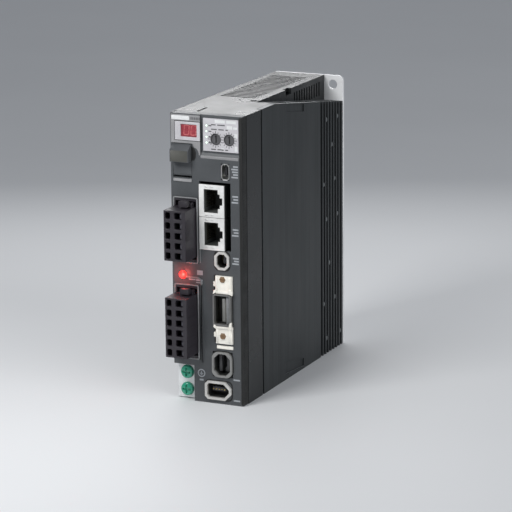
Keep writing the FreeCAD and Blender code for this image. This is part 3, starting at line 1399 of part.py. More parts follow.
makeFrontCover()
makeCaseShell()
makeHeatsink()
makeBackPlate()
makeDisplay()
makeLabelPanel()
makeStatusLamps()
for switch_side in ("left", "right"):
    makeAddressSwitch(switch_side)
makePortFlap()
makeServicePort()
for jack_name in ("upper", "lower"):
    makeNetworkJack(jack_name)
makeSafetyPort()
makeSignalPort()
for port_name in ("scale", "encoder"):
    makeFeedbackPort(port_name)
makeChargeLamp()
makeEarthTerminals()
for block_name in ("mains", "motor"):
    makeTerminalHeader(block_name, dimensions[f"{block_name}_rows"])
    makeTerminalPlug(block_name, dimensions[f"{block_name}_rows"])
makeBoards()
makePowerModule()
makePowerParts()
checkAndWrite()
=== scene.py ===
import bpy
import bmesh
import json
import math
from mathutils import Matrix, Vector


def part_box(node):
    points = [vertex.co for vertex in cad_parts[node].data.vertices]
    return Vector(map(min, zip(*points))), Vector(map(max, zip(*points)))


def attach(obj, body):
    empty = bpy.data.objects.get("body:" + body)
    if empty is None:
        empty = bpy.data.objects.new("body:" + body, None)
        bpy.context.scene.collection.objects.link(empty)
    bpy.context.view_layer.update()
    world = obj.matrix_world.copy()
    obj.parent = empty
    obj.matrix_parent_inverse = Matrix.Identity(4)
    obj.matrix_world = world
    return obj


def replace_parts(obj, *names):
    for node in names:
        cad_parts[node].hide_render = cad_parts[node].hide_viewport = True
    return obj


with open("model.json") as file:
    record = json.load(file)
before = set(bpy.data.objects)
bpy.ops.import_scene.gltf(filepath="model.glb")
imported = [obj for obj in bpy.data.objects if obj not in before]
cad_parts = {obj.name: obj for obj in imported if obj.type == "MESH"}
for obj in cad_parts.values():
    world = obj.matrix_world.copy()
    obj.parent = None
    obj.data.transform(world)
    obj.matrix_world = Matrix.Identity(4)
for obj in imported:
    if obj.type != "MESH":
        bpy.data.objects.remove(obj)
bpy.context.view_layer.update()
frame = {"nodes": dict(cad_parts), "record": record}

# Looks of a narrow servo drive: charcoal mouldings, dark anodised heat sink, zinc-plated back plate,
# black pull-out terminal plugs, nickel port shells, a red display and a glowing charge lamp.
mm = 0.001
bodyOf = {node: body for body, members in frame["record"]["behaviour"]["bodies"].items()
          for node in members}
slotOf = {part["node"]: part["material_slot"] for part in frame["record"]["subparts"]}


# the lowest and highest corner of a CAD node, in millimetres
def reach(name):
    low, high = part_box(name)
    return [value / mm for value in low], [value / mm for value in high]


# the middle of a CAD node, across and up
def middle(name):
    low, high = reach(name)
    return (low[0] + high[0]) / 2, (low[2] + high[2]) / 2


faceY = reach("front_cover")[0][1] + 0.6      # the rib on the cover stands 0.6 proud of its face
print("frame loaded:", len(frame["nodes"]), "nodes")


def node(tree, kind, **settings):
    item = tree.nodes.new(kind)
    for name, value in settings.items():
        setattr(item, name, value)
    return item


def objectCoords(tree, stretch=(1, 1, 1)):
    coords = node(tree, "ShaderNodeTexCoord")
    mapping = node(tree, "ShaderNodeMapping")
    mapping.inputs["Scale"].default_value = stretch
    tree.links.new(coords.outputs["Object"], mapping.inputs["Vector"])
    return mapping.outputs["Vector"]


def noise(tree, vector, scale, detail=3, rough=0.5):
    texture = node(tree, "ShaderNodeTexNoise")
    texture.inputs["Scale"].default_value = scale
    texture.inputs["Detail"].default_value = detail
    texture.inputs["Roughness"].default_value = rough
    tree.links.new(vector, texture.inputs["Vector"])
    return texture.outputs["Fac"]


def ramp(tree, fac, low, high, lowColor, highColor):
    blend = node(tree, "ShaderNodeValToRGB")
    first, last = blend.color_ramp.elements
    first.position, first.color = low, (*lowColor, 1)
    last.position, last.color = high, (*highColor, 1)
    tree.links.new(fac, blend.inputs["Fac"])
    return blend.outputs["Color"]


def spread(tree, fac, low, high, start=0, end=1):
    span = node(tree, "ShaderNodeMapRange")
    span.inputs["From Min"].default_value = start
    span.inputs["From Max"].default_value = end
    span.inputs["To Min"].default_value = low
    span.inputs["To Max"].default_value = high
    tree.links.new(fac, span.inputs["Value"])
    return span.outputs["Result"]


def mixed(tree, fac, first, second):
    blend = node(tree, "ShaderNodeMix", data_type="RGBA")
    tree.links.new(fac, blend.inputs["Factor"])
    tree.links.new(first, blend.inputs["A"])
    tree.links.new(second, blend.inputs["B"])
    return blend.outputs["Result"]


def bump(tree, height, distance, strength=0.4, previous=None):
    relief = node(tree, "ShaderNodeBump")
    relief.inputs["Strength"].default_value = strength
    relief.inputs["Distance"].default_value = distance
    tree.links.new(height, relief.inputs["Height"])
    if previous:
        tree.links.new(previous, relief.inputs["Normal"])
    return relief.outputs["Normal"]


# a normal that rounds every hard edge of a CAD mesh by a small radius
def easedEdge(tree, radius):
    edge = node(tree, "ShaderNodeBevel", samples=4)
    edge.inputs["Radius"].default_value = radius * mm
    return edge.outputs["Normal"]


def blankMaterial(name):
    material = bpy.data.materials.new(name)
    material.use_nodes = True
    tree = material.node_tree
    return material, tree, tree.nodes["Principled BSDF"]


def shade(color, factor):
    return tuple(channel * factor for channel in color)


plasticBase = {"grainDepth": 0.00002, "grainStrength": 0.3, "specular": 0.5, "coat": 0, "coatRoughness": 0.2}


# spark-eroded moulding: fine grain in the relief, slow changes of tone and gloss, fingered dull spots
def mouldedPlastic(name, changes):
    look = {**plasticBase, **changes}
    material, tree, shader = blankMaterial(name)
    place = objectCoords(tree)
    cloud = noise(tree, place, look["cloudScale"], 4)
    grain = noise(tree, place, look["grainScale"], 2)
    tone = ramp(tree, cloud, 0.35, 0.68, shade(look["color"], 0.88), shade(look["color"], 1.12))
    fleck = ramp(tree, grain, 0.3, 0.75, shade(look["color"], 0.8), shade(look["color"], 1.25))
    tree.links.new(mixed(tree, spread(tree, grain, 0.1, 0.6), tone, fleck), shader.inputs["Base Color"])
    low, high = look["gloss"]
    tree.links.new(spread(tree, cloud, low, high, 0.3, 0.7), shader.inputs["Roughness"])
    base = easedEdge(tree, look["edge"]) if "edge" in look else None
    tree.links.new(bump(tree, grain, look["grainDepth"], look["grainStrength"], base),
                   shader.inputs["Normal"])
    shader.inputs["Specular IOR Level"].default_value = look["specular"]
    shader.inputs["Coat Weight"].default_value = look["coat"]
    shader.inputs["Coat Roughness"].default_value = look["coatRoughness"]
    return material


# plated metal: soft clouds of tone and a faint drawn grain; port shells also get a painted shade that
# darkens them deeper behind the cover face
def platedMetal(name, look):
    material, tree, shader = blankMaterial(name)
    cloud = noise(tree, objectCoords(tree), look["cloudScale"], 5)
    drawn = noise(tree, objectCoords(tree, look["grainStretch"]), look["grainScale"], 2)
    tone = ramp(tree, cloud, 0.3, 0.75, shade(look["color"], 0.8), look["color"])
    # painted shade: the metal turns dark with depth behind the cover face
    if "innerShadeTone" in look:
        inward = node(tree, "ShaderNodeSeparateXYZ")
        tree.links.new(objectCoords(tree), inward.inputs["Vector"])
        depthShade = spread(tree, inward.outputs["Y"], 0, 1, (faceY - 0.1) * mm, (faceY + 0.9) * mm)
        inner = ramp(tree, cloud, 0.3, 0.7, look["innerShadeTone"], shade(look["innerShadeTone"], 1.4))
        tone = mixed(tree, depthShade, tone, inner)
    tree.links.new(tone, shader.inputs["Base Color"])
    tree.links.new(spread(tree, drawn, look["gloss"][0], look["gloss"][1]), shader.inputs["Roughness"])
    base = easedEdge(tree, look["edge"]) if "edge" in look else None
    tree.links.new(bump(tree, drawn, look["grainDepth"], 0.3, base), shader.inputs["Normal"])
    shader.inputs["Metallic"].default_value = look.get("metallic", 1)
    return material


heatsinkLook = {"color": (0.03, 0.034, 0.036), "bareAndLitTopColor": (0.2, 0.21, 0.215), "lineScale": 760,
                "gloss": (0.36, 0.56), "metallic": 0.4, "lineDepth": 0.00005, "edge": 0.3}


# dark anodised extrusion with faint die lines along its height; its upward-facing ends are lighter: bare
# sawn metal with a painted highlight
def anodisedExtrusion():
    look = heatsinkLook
    material, tree, shader = blankMaterial("anodisedExtrusion")
    lines = noise(tree, objectCoords(tree, (1, 1, 0.012)), look["lineScale"], 3, 0.6)
    wide = noise(tree, objectCoords(tree, (1, 1, 0.02)), 190, 2, 0.5)
    cloud = noise(tree, objectCoords(tree, (1, 1, 0.4)), 60, 3)
    fine = noise(tree, objectCoords(tree), 5200, 2)
    narrow = ramp(tree, lines, 0.36, 0.66, shade(look["color"], 0.8), shade(look["color"], 1.25))
    broad = ramp(tree, wide, 0.35, 0.65, shade(look["color"], 0.7), shade(look["color"], 1.35))
    skin = mixed(tree, spread(tree, cloud, 0.2, 0.6), narrow, broad)
    facing = node(tree, "ShaderNodeSeparateXYZ")
    geometry = node(tree, "ShaderNodeNewGeometry")
    tree.links.new(geometry.outputs["True Normal"], facing.inputs["Vector"])
    # only faces turned up take the pale tone: bare sawn ends plus a painted highlight from above
    bareAndLitTop = spread(tree, facing.outputs["Z"], 0, 1, 0.86, 0.95)
    bareAndLitTopTone = ramp(tree, cloud, 0.3, 0.7, shade(look["bareAndLitTopColor"], 0.8), look["bareAndLitTopColor"])
    tree.links.new(mixed(tree, bareAndLitTop, skin, bareAndLitTopTone), shader.inputs["Base Color"])
    tree.links.new(spread(tree, cloud, look["gloss"][0], look["gloss"][1]), shader.inputs["Roughness"])
    first = bump(tree, lines, look["lineDepth"], 0.5, easedEdge(tree, look["edge"]))
    tree.links.new(bump(tree, fine, 0.00002, 0.3, first), shader.inputs["Normal"])
    shader.inputs["Metallic"].default_value = look["metallic"]
    return material


# a lit lens, segment or see-through window: its own noise keeps it from being a flat patch
def glowing(name, color, strength, gloss=0.3, coat=0.6, cloudScale=900, dim=0.8, alpha=1):
    material, tree, shader = blankMaterial(name)
    cloud = noise(tree, objectCoords(tree), cloudScale, 2)
    tone = ramp(tree, cloud, 0.3, 0.7, shade(color, dim), color)
    tree.links.new(tone, shader.inputs["Base Color"])
    tree.links.new(tone, shader.inputs["Emission Color"])
    shader.inputs["Emission Strength"].default_value = strength
    shader.inputs["Roughness"].default_value = gloss
    shader.inputs["Coat Weight"].default_value = coat
    shader.inputs["Alpha"].default_value = alpha
    return material


def paleFloor():
    material, tree, shader = blankMaterial("paleFloor")
    cloud = noise(tree, objectCoords(tree), 3, 3)
    tree.links.new(ramp(tree, cloud, 0.3, 0.7, (0.74, 0.75, 0.76), (0.78, 0.79, 0.8)),
                   shader.inputs["Base Color"])
    shader.inputs["Roughness"].default_value = 0.55
    return material


plastics = {
    "cover_plastic": {"color": (0.068, 0.073, 0.078), "cloudScale": 70, "grainScale": 2600,
                      "grainDepth": 0.00006, "grainStrength": 0.4, "gloss": (0.36, 0.5), "edge": 0.3},
    "case_plastic": {"color": (0.013, 0.0145, 0.0155), "cloudScale": 50, "grainScale": 2200,
                     "grainDepth": 0.00004, "gloss": (0.24, 0.34), "edge": 0.35, "specular": 0.3},
    "label_grey": {"color": (0.5, 0.49, 0.51), "cloudScale": 120, "grainScale": 4200, "edge": 0.25,
                   "gloss": (0.35, 0.5)},
    "component_black": {"color": (0.014, 0.014, 0.016), "cloudScale": 160, "grainScale": 5200,
                        "grainDepth": 0.00003, "gloss": (0.4, 0.55)},
    "dial_grey": {"color": (0.085, 0.085, 0.09), "cloudScale": 300, "grainScale": 5200, "edge": 0.15,
                  "gloss": (0.35, 0.5)},
    "ivory_plastic": {"color": (0.93, 0.9, 0.82), "cloudScale": 200, "grainScale": 4500, "edge": 0.3,
                      "gloss": (0.35, 0.5)},
    "terminal_black": {"color": (0.026, 0.0225, 0.0285), "cloudScale": 110, "grainScale": 3000,
                       "edge": 0.25, "grainDepth": 0.00004, "grainStrength": 0.35, "gloss": (0.34, 0.48)},
    "board_green": {"color": (0.008, 0.06, 0.03), "cloudScale": 240, "grainScale": 2600,
                    "grainDepth": 0.00003, "grainStrength": 0.4, "gloss": (0.25, 0.4)},
    "pad_rubber": {"color": (0.26, 0.28, 0.33), "cloudScale": 200, "grainScale": 4200,
                   "grainDepth": 0.00003, "grainStrength": 0.4, "gloss": (0.6, 0.8)},
    "capacitor_sleeve": {"color": (0.03, 0.04, 0.13), "cloudScale": 90, "grainScale": 2500,
                         "grainDepth": 0.00003, "gloss": (0.2, 0.32)},
    "winding_tape": {"color": (0.5, 0.38, 0.05), "cloudScale": 150, "grainScale": 2200,
                     "grainDepth": 0.00004, "grainStrength": 0.4, "gloss": (0.3, 0.5)},
    "ferrite_core": {"color": (0.05, 0.06, 0.065), "cloudScale": 220, "grainScale": 3500,
                     "grainDepth": 0.00006, "grainStrength": 0.5, "gloss": (0.5, 0.7)},
    "clear_light_pipe": {"color": (0.6, 0.66, 0.62), "cloudScale": 400, "grainScale": 5200,
                         "grainDepth": 0.00001, "grainStrength": 0.2, "gloss": (0.1, 0.2)},
    "green_screw": {"color": (0.015, 0.33, 0.2), "cloudScale": 420, "grainScale": 3600,
                    "grainDepth": 0.00003, "grainStrength": 0.25, "gloss": (0.12, 0.24), "coat": 0.8},
}
metals = {
    "plated_steel": {"color": (0.96, 0.97, 0.975), "cloudScale": 90, "grainScale": 1500, "edge": 0.2,
                     "metallic": 0.15, "grainStretch": (1, 1, 0.05), "grainDepth": 0.00002,
                     "gloss": (0.3, 0.46)},
    "nickel_shell": {"color": (0.9, 0.9, 0.88), "cloudScale": 240, "grainScale": 2600, "edge": 0.2,
                     "grainStretch": (1, 1, 0.2), "grainDepth": 0.00002, "gloss": (0.3, 0.46)},
    "gold_contact": {"color": (0.85, 0.62, 0.24), "cloudScale": 400, "grainScale": 3200,
                     "grainStretch": (1, 0.1, 1), "grainDepth": 0.00001, "gloss": (0.18, 0.3)},
    "tinned_copper": {"color": (0.72, 0.71, 0.68), "cloudScale": 300, "grainScale": 2800,
                      "grainStretch": (1, 0.2, 1), "grainDepth": 0.00002, "gloss": (0.24, 0.4)},
}
finishes = {slot: mouldedPlastic(slot, look) for slot, look in plastics.items()}
finishes.update({slot: platedMetal(slot, look) for slot, look in metals.items()})
finishes["anodised_aluminium"] = anodisedExtrusion()
finishes["red_lens"] = glowing("red_lens", (0.3, 0.045, 0.06), 0.45, gloss=0.12, coat=0.4, cloudScale=350,
                               dim=0.85, alpha=0.6)

# finishes of small added details, each one a variant of a slot's own finish
extraLooks = {
    "trimGrey": {"color": (0.27, 0.27, 0.275), "cloudScale": 90, "grainScale": 2600, "grainDepth": 0.00004,
                 "grainStrength": 0.35, "gloss": (0.34, 0.48)},
    "gripOlive": {"color": (0.07, 0.07, 0.062), "cloudScale": 90, "grainScale": 2400, "grainDepth": 0.00005,
                  "grainStrength": 0.4, "gloss": (0.3, 0.44)},
    # near-black plastic for the black strips and the window border, also laid as painted shade and shadow in
    # gaps and beside parts
    "blackAndPaintedShade": {"color": (0.009, 0.0095, 0.009), "cloudScale": 140, "grainScale": 2600,
                 "grainDepth": 0.00006, "grainStrength": 0.5, "gloss": (0.5, 0.7)},
    "printWhite": {"color": (0.36, 0.38, 0.4), "cloudScale": 500, "grainScale": 5200, "grainDepth": 0.00001,
                   "grainStrength": 0.2, "gloss": (0.45, 0.6)},
    "printDark": {"color": (0.09, 0.09, 0.095), "cloudScale": 500, "grainScale": 5200,
                  "grainDepth": 0.00001, "grainStrength": 0.2, "gloss": (0.45, 0.6)},
    # pale grey: a painted edge highlight on the header lips and frame lines, and the plain grey of the
    # signal port's filler
    "greyAndRimHighlight": {"color": (0.23, 0.235, 0.24), "cloudScale": 200, "grainScale": 3600, "gloss": (0.25, 0.36)},
    "bossGrey": {"color": (0.16, 0.17, 0.175), "cloudScale": 300, "grainScale": 3600, "grainDepth": 0.00003,
                 "gloss": (0.3, 0.4)},
    "blankLabel": {"color": (0.66, 0.67, 0.67), "cloudScale": 60, "grainScale": 4200, "grainDepth": 0.00001,
                   "grainStrength": 0.2, "gloss": (0.3, 0.42)},
    "screwBrown": {"color": (0.24, 0.15, 0.08), "cloudScale": 500, "grainScale": 4200, "gloss": (0.3, 0.42),
                   "edge": 0.1},
    # grey for the jack inserts, lighter than their black plastic: painted light that keeps the shaded mouths
    # from going black
    "insertPaintedLightGrey": {"color": (0.075, 0.08, 0.076), "cloudScale": 300, "grainScale": 4200, "edge": 0.15,
                   "gloss": (0.4, 0.55)},
    "leverGrey": {"color": (0.075, 0.073, 0.088), "cloudScale": 200, "grainScale": 3600,
                  "gloss": (0.3, 0.42)},
    "tongueGrey": {"color": (0.2, 0.2, 0.19), "cloudScale": 300, "grainScale": 4200, "edge": 0.15,
                   "gloss": (0.4, 0.55)},
}
shellLooks = {"shellDull": (0.2, 0.2, 0.195), "shellMid": (0.3, 0.3, 0.29), "shellPale": (0.68, 0.67, 0.64),
              "shellBright": (0.95, 0.95, 0.93)}
extras = {name: mouldedPlastic(name, look) for name, look in extraLooks.items()}
extras.update({name: platedMetal(name, dict(metals["nickel_shell"], color=color, metallic=0.25,
                                                innerShadeTone=(0.03, 0.031, 0.03)))
               for name, color in shellLooks.items()})
extras["contactDull"] = platedMetal("contactDull", dict(metals["gold_contact"], color=(0.2, 0.16, 0.09)))
extras["litRed"] = glowing("litRed", (0.9, 0.045, 0.035), 1.05, 0.15)
extras["litSegment"] = glowing("litSegment", (0.95, 0.5, 0.44), 1.3, 0.4)
extras["litGreen"] = glowing("litGreen", (0.75, 0.95, 0.8), 0.9, 0.3)
print("finishes made:", len(finishes) + len(extras))


# links a mesh as a piece that rides on a body and takes a slot's finish
def placePiece(name, mesh, body, slot, material=None):
    piece = bpy.data.objects.new(name, mesh)
    bpy.context.scene.collection.objects.link(piece)
    mesh.materials.clear()
    mesh.materials.append(material or finishes[slot])
    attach(piece, body)
    return piece


# a mesh filled by a function that draws into a bmesh
def meshFrom(name, draw):
    shape = bmesh.new()
    draw(shape)
    bmesh.ops.recalc_face_normals(shape, faces=shape.faces)
    mesh = bpy.data.meshes.new(name)
    shape.to_mesh(mesh)
    shape.free()
    return mesh


# the mesh as one modifier leaves it
def withModifier(mesh, kind, **settings):
    holder = bpy.data.objects.new("holder", mesh)
    bpy.context.scene.collection.objects.link(holder)
    modifier = holder.modifiers.new(kind.lower(), kind)
    for name, value in settings.items():
        setattr(modifier, name, value)
    bpy.context.view_layer.update()
    seen = holder.evaluated_get(bpy.context.evaluated_depsgraph_get())
    result = bpy.data.meshes.new_from_object(seen)
    result.name = mesh.name
    bpy.data.objects.remove(holder)
    return result


def bevelled(mesh, width, segments=2):
    return withModifier(mesh, "BEVEL", width=width * mm, segments=segments, limit_method="ANGLE",
                        angle_limit=math.radians(38), use_clamp_overlap=True,
                        miter_outer="MITER_ARC", harden_normals=True)


# the mesh with another one's solid taken away
def carved(mesh, tool):
    cutter = bpy.data.objects.new("cutter", tool)
    bpy.context.scene.collection.objects.link(cutter)
    result = withModifier(mesh, "BOOLEAN", object=cutter, operation="DIFFERENCE", solver="EXACT")
    bpy.data.objects.remove(cutter)
    return result


def smoothByAngle(mesh, degrees=34):
    mesh.polygons.foreach_set("use_smooth", [True] * len(mesh.polygons))
    mesh.set_sharp_from_angle(angle=math.radians(degrees))


# a vertex of a drawn shape, its place given in millimetres
def vertex(shape, x, y, z):
    return shape.verts.new((x * mm, y * mm, z * mm))


# a block between (low, high) pairs on each axis, in millimetres
def slab(shape, x, y, z):
    corners = [vertex(shape, u, v, w) for u in x for v in y for w in z]
    for loop in ((0, 1, 3, 2), (4, 6, 7, 5), (0, 4, 5, 1), (2, 3, 7, 6), (0, 2, 6, 4), (1, 5, 7, 3)):
        shape.faces.new([corners[index] for index in loop])


# a flat mark on a panel, placed by its lower left corner
def mark(shape, x, z, width, tall, near, far):
    slab(shape, (x, x + width), (near, far), (z, z + tall))


# two like outlines of (x, y, z) points, closed at their ends and joined round their sides
def joined(shape, first, last):
    front, back = ([vertex(shape, *point) for point in points] for points in (first, last))
    shape.faces.new(front)
    shape.faces.new(list(reversed(back)))
    for index in range(len(front)):
        following = (index + 1) % len(front)
        shape.faces.new((front[index], back[index], back[following], front[following]))


# an outline of (x, z) points carried from a near to a far Y
def prism(shape, points, near, far):
    joined(shape, *([(x, y, z) for x, z in points] for y in (near, far)))


# a wall that follows a closed outline: outer and inner (x, z) points between two Y values
def ring(shape, outer, inner, near, far):
    loops = [[vertex(shape, x, y, z) for x, z in points]
             for points, y in ((outer, near), (outer, far), (inner, far), (inner, near))]
    for index in range(len(outer)):
        following = (index + 1) % len(outer)
        for first, second in ((0, 1), (1, 2), (2, 3), (3, 0)):
            shape.faces.new((loops[first][index], loops[second][index],
                             loops[second][following], loops[first][following]))


def roundedOutline(left, right, low, high, corner, steps=4):
    points = []
    for middleX, middleZ, start in ((right - corner, high - corner, 0), (left + corner, high - corner, 90),
                                    (left + corner, low + corner, 180), (right - corner, low + corner, 270)):
        for step in range(steps + 1):
            angle = math.radians(start + 90 * step / steps)
            points.append((middleX + corner * math.cos(angle), middleZ + corner * math.sin(angle)))
    return points


def circleOutline(x, z, radius, steps):
    turns = [2 * math.pi * step / steps for step in range(steps)]
    return [(x + radius * math.cos(turn), z + radius * math.sin(turn)) for turn in turns]


# the rounded outline of a CAD node seen from the front, grown or shrunk
def boxOutline(name, grow, corner):
    low, high = reach(name)
    return roundedOutline(low[0] - grow, high[0] + grow, low[2] - grow, high[2] + grow, corner)


# a profile of (radius, distance out of the front) turned about a line along Y
def turned(shape, centreX, centreZ, baseY, profile, steps=32):
    rows = []
    for radius, out in profile:
        outline = circleOutline(centreX, centreZ, radius, steps) if radius else [(centreX, centreZ)]
        rows.append([vertex(shape, x, baseY - out, z) for x, z in outline])
    for lower, upper in zip(rows, rows[1:]):
        for step in range(steps):
            following = (step + 1) % steps
            corners = [lower[step % len(lower)], lower[following % len(lower)],
                       upper[following % len(upper)], upper[step % len(upper)]]
            shape.faces.new(list(dict.fromkeys(corners)))


# a finished piece from a drawing function: drawn, bevelled, smoothed and placed
def piece(name, draw, body, slot, edge=0, material=None, segments=2):
    mesh = meshFrom(name, draw)
    if edge:
        mesh = bevelled(mesh, edge, segments)
    smoothByAngle(mesh)
    return placePiece(name, mesh, body, slot, material)


for name, cadNode in frame["nodes"].items():
    cadNode.data.materials.clear()
    cadNode.data.materials.append(finishes[slotOf[name]])

ownFinish = {"signal_post_screws": "screwBrown", "network_insert_upper": "insertPaintedLightGrey",
             "network_insert_lower": "insertPaintedLightGrey", "signal_port_tongue": "tongueGrey",
             "signal_port_shell": "shellDull", "scale_port_shell": "shellMid",
             "encoder_port_shell": "shellPale", "safety_port_shell": "shellPale",
             "network_contacts_upper": "contactDull", "network_contacts_lower": "contactDull",
             "network_jack_upper": "shellBright", "network_jack_lower": "shellBright"}
for name, finish in ownFinish.items():
    frame["nodes"][name].data.materials[0] = extras[finish]
print("finishes on every CAD piece")

roundedEdges = {"port_flap": 0.35, "mains_latch": 0.2, "motor_latch": 0.2, "signal_port_tongue": 0.12,
                "signal_post_screws": 0.1}


# the CAD shape of a small moulding with its edges rounded in the mesh, standing in its place
def roundPiece(name, width):
    shape = bmesh.new()
    shape.from_mesh(frame["nodes"][name].data)
    bmesh.ops.remove_doubles(shape, verts=shape.verts, dist=0.002 * mm)
    bmesh.ops.dissolve_limit(shape, angle_limit=math.radians(0.6), verts=shape.verts, edges=shape.edges)
    mesh = bpy.data.meshes.new(name + "Rounded")
    shape.to_mesh(mesh)
    shape.free()
    mesh = bevelled(mesh, width)
    smoothByAngle(mesh)
    material = extras[ownFinish[name]] if name in ownFinish else None
    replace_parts(placePiece(name + "Rounded", mesh, bodyOf[name], slotOf[name], material), name)


for name, width in roundedEdges.items():
    roundPiece(name, width)
print("edges rounded on", len(roundedEdges), "pieces")

displayLook = {"trimProud": 0.2, "sideMargin": 0.5, "topMargin": 0.6, "labelGap": 1.6, "stepDrop": 2.6,
               "flapGap": 0.4, "flapSide": 0.7, "sweepStart": 1.6, "sweepWide": 2.6, "sweepTall": 3.6,
               "sweepSteps": 7, "sweepTurn": 0.26, "seamWidth": 0.35, "stripLow": 146.7, "stripHigh": 148.8,
               "stripLeft": 0.5, "stripRight": 10.4, "stripProud": 0.15, "dashCount": 6, "dashStart": 11.2,
               "dashPitch": 0.95, "dashWidth": 0.6, "dashInset": 0.4}


# the paler surround of the display, a black ring of painted shade in the gap round it, and the blank strip
# above it
def dressDisplay():
    look = displayLook
    low, high = reach("display_bezel")
    flapHigh = reach("port_flap")[1]
    coverLow, coverHigh = reach("front_cover")
    labelLow = reach("label_panel")[0]
    seam = look["seamWidth"]
    near = faceY - look["trimProud"]
    left, right = coverLow[0] + look["sideMargin"], labelLow[0] - look["labelGap"]
    top, bottom = coverHigh[2] - look["topMargin"], flapHigh[2] + look["flapGap"]
    sweepX, sweepZ = flapHigh[0] + look["sweepStart"], flapHigh[2] - look["sweepStart"]
    turns = [step * look["sweepTurn"] for step in range(look["sweepSteps"])]
    sweep = [(sweepX + look["sweepWide"] * math.sin(turn), sweepZ - look["sweepTall"] * (1 - math.cos(turn)))
             for turn in turns]
    outline = ([(left, bottom), (flapHigh[0] + look["flapSide"], bottom)] + sweep
               + [(right, labelLow[2] - look["stepDrop"]), (right, top), (left, top)])
    body = meshFrom("displaySurround", lambda shape: prism(shape, outline, near, faceY + 0.3))
    hole = meshFrom("hole", lambda shape: slab(shape, (low[0] - seam, high[0] + seam), (near - 1, faceY + 1),
                                               (low[2] - seam, high[2] + seam)))
    mesh = bevelled(carved(body, hole), 0.1)
    smoothByAngle(mesh)
    placePiece("displaySurround", mesh, "drive", "label_grey", extras["trimGrey"])
    # a black ring laid on the cover in the gap round the bezel: painted shade
    inner, outer = boxOutline("display_bezel", 0, 0.05), boxOutline("display_bezel", seam, 0.1)
    piece("displayGapShade", lambda shape: ring(shape, outer, inner, faceY - 0.04, faceY + 0.2),
          "drive", "component_black", material=extras["blackAndPaintedShade"])
    strip = roundedOutline(left + look["stripLeft"], left + look["stripRight"], look["stripLow"],
                           look["stripHigh"], 0.3)
    piece("blankStrip", lambda shape: prism(shape, strip, near - look["stripProud"], near + 0.1), "drive",
          "label_grey", 0.06, extras["blankLabel"])

    def dashes(shape):
        inset = look["dashInset"]
        for index in range(look["dashCount"]):
            start = left + look["dashStart"] + index * look["dashPitch"]
            slab(shape, (start, start + look["dashWidth"]), (near - 0.03, near + 0.05),
                 (look["stripLow"] + inset, look["stripHigh"] - inset))
    piece("surroundMarks", dashes, "drive", "component_black", material=extras["printDark"])


digitLook = {"height": 4.9, "width": 2.7, "bar": 0.55, "gap": 1.1, "lean": 0.1, "barGap": 0.1,
             "borderSide": 0.45, "borderTop": 0.4, "lit": ("abcdef", "abcdef")}


# two seven-bar digits behind the red window, inside a dark border
def makeDigits():
    look = digitLook
    low, high = reach("display_window")
    middleX, middleZ = middle("display_window")
    half, wide, bar = look["height"] / 2, look["width"] / 2, look["bar"] / 2
    bars = {"a": ((-wide, wide), (half - bar, half + bar)), "d": ((-wide, wide), (-half - bar, -half + bar)),
            "g": ((-wide, wide), (-bar, bar)), "b": ((wide - bar, wide + bar), (bar, half)),
            "c": ((wide - bar, wide + bar), (-half, -bar)), "e": ((-wide - bar, -wide + bar), (-half, -bar)),
            "f": ((-wide - bar, -wide + bar), (bar, half))}

    def draw(shape):
        apart = (look["width"] + look["gap"]) / 2 * 1.05
        endGap, sideGap = look["barGap"], look["barGap"] / 2
        for side, lit in zip((-1, 1), look["lit"]):
            centre = middleX + side * apart
            for name in lit:
                (left, right), (bottom, top) = bars[name]
                points = [(centre + x + z * look["lean"], middleZ + z)
                          for x, z in ((left + endGap, bottom + sideGap), (right - endGap, bottom + sideGap),
                                       (right - endGap, top - sideGap), (left + endGap, top - sideGap))]
                prism(shape, points, high[1] + 0.05, high[1] + 0.2)
    piece("digitBars", draw, "drive", "red_lens", material=extras["litSegment"])
    side, top = look["borderSide"], look["borderTop"]
    outer = [(low[0], low[2]), (high[0], low[2]), (high[0], high[2]), (low[0], high[2])]
    inner = [(x + (side if x < middleX else -side), z + (top if z < middleZ else -top)) for x, z in outer]
    piece("windowBorder", lambda shape: ring(shape, outer, inner, low[1] + 0.3, high[1] + 0.4), "drive",
          "component_black", material=extras["blackAndPaintedShade"])


labelLook = {"tickCount": 16, "tickInner": 3.15, "tickOuter": 3.95, "longerTick": 0.35, "tickWidth": 0.34,
             "proud": 0.03, "rowStart": 4.4, "rowHalf": 0.28, "wordGap": 0.9, "lampCount": 4,
             "lampEnd": 0.6, "dashNear": 1.1, "dashFar": 2.7, "dashHalf": 0.3}


